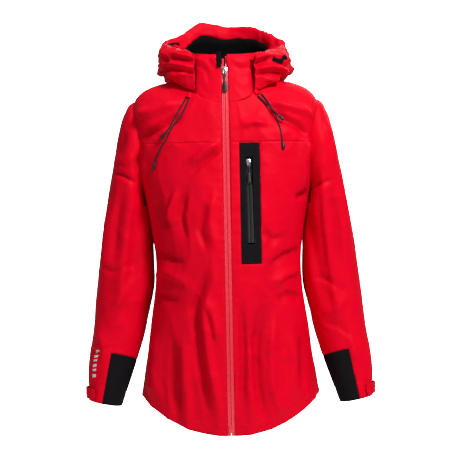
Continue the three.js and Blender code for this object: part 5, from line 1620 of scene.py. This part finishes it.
class JACKET_OT_inside(bpy.types.Operator):
    """Adds the hem facing and the hang loop inside the neck"""
    bl_idname = "jacket.inside"
    bl_label = "Facings and hang loop"

    def execute(self, context):
        plain = grid(220, 6, lambda u, v: ring_point(TORSO, 12.68 + 0.318 * v, 7 + 345 * u))
        face_out(plain, lambda c: (0, 0, c.z))
        draped(plain, lambda home, normals: torso_lift(home, normals) - 2.6)
        cloth("hem_facing", plain, "Black lining", (1.02, 0.033), 0.9, slot="black_lining", nodes=["hem_facing"])
        knots = [(-22, 0), (-17, -0.9), (-11, 9.2), (-6, 10.6), (0, 11.0), (6, 10.6), (11, 9.2), (17, -0.9), (22, 0)]
        path = spread(knots, 60)

        def place(u, v):
            x = np.interp(u, np.linspace(0, 1, 60), path[:, 0])
            out = np.interp(u, np.linspace(0, 1, 60), path[:, 1])
            return np.stack([x, 55.2 - out, 14 + 9 * (v - 0.5)], axis=1)

        strap = grid(70, 6, place)
        face_out(strap, lambda c: (c.x, 80, c.z))
        cloth("hang_loop", strap, "Black stretch cloth", (0.009 + 0.0015, 0.056), 1.6, slot="black_lining", nodes=["hang_loop"])
        return {"FINISHED"}


class JACKET_OT_marks(bpy.types.Operator):
    """Prints a row of plain bars on one forearm and a dash on the other upper arm"""
    bl_idname = "jacket.marks"
    bl_label = "Sleeve prints"

    def execute(self, context):
        def bar(side, turns, places):
            near = BASES["draped sleeve", side]

            def place(u, v):
                points = sleeve_point(side, places[0] + (places[1] - places[0]) * v, -(turns[0] + (turns[1] - turns[0]) * u), 0)
                laid = []
                for p in points:
                    spot, normal, _, _ = near.find_nearest(Vector(p))
                    laid.append(tuple(spot + normal * 0.25))
                return np.array(laid)

            bm = grid(10, 6, place)
            face_out(bm, lambda c: (side * 205, 8, c.z))
            return bm

        bars = [bar(-1, (43, 55), (7.56 + 0.13 * k, 7.56 + 0.13 * k + (0.075 if k % 2 else 0.05))) for k in range(6)]
        strip = piece("right_sleeve_strip", joined(bars), "Reflective print", "garment", "reflective_print",
            ["right_sleeve_strip"])
        dash = piece("left_sleeve_dash", bar(1, (24, 30), (3.75, 4.1)), "Reflective print", "garment", "reflective_print",
            ["left_sleeve_dash"])
        for obj in (strip, dash):
            film = obj.modifiers.new("Film", "SOLIDIFY")
            film.thickness, film.offset = 0.2 * MM, 1
        return {"FINISHED"}


# ---- Panel and run ----------------------------------------------------------

STEPS = [JACKET_OT_stage, JACKET_OT_cords, JACKET_OT_torso, JACKET_OT_sleeves, JACKET_OT_collar, JACKET_OT_hood,
    JACKET_OT_front_zip, JACKET_OT_pocket_zip, JACKET_OT_cuffs, JACKET_OT_stitching, JACKET_OT_inside, JACKET_OT_marks]
LABELLED = [JacketColours, JacketSizes] + STEPS


class JACKET_PT_sidebar(bpy.types.Panel):
    """Lists the jacket's sizes, colours and building steps"""
    bl_idname = "JACKET_PT_sidebar"
    bl_label = "Hardshell jacket"
    bl_space_type = "VIEW_3D"
    bl_region_type = "UI"
    bl_category = "Jacket"

    def draw(self, context):
        jacket = context.scene.jacket
        for name in ("cloth", "creases", "stitch", "cord"):
            self.layout.prop(jacket, name)
        for name in ("shell", "shell_shade", "panel", "lining", "coating", "cord", "metal"):
            self.layout.prop(jacket.colours, name)
        for kind in STEPS:
            self.layout.operator(kind.bl_idname)


def register():
    for kind in LABELLED + [JACKET_PT_sidebar]:
        bpy.utils.register_class(kind)
    bpy.types.Scene.jacket = bpy.props.PointerProperty(type=JacketSizes)


def unregister():
    del bpy.types.Scene.jacket
    for kind in reversed(LABELLED + [JACKET_PT_sidebar]):
        bpy.utils.unregister_class(kind)


def main():
    register()
    for kind in STEPS:
        space, name = kind.bl_idname.split(".")
        getattr(getattr(bpy.ops, space), name)()


if __name__ == "__main__":
    main()
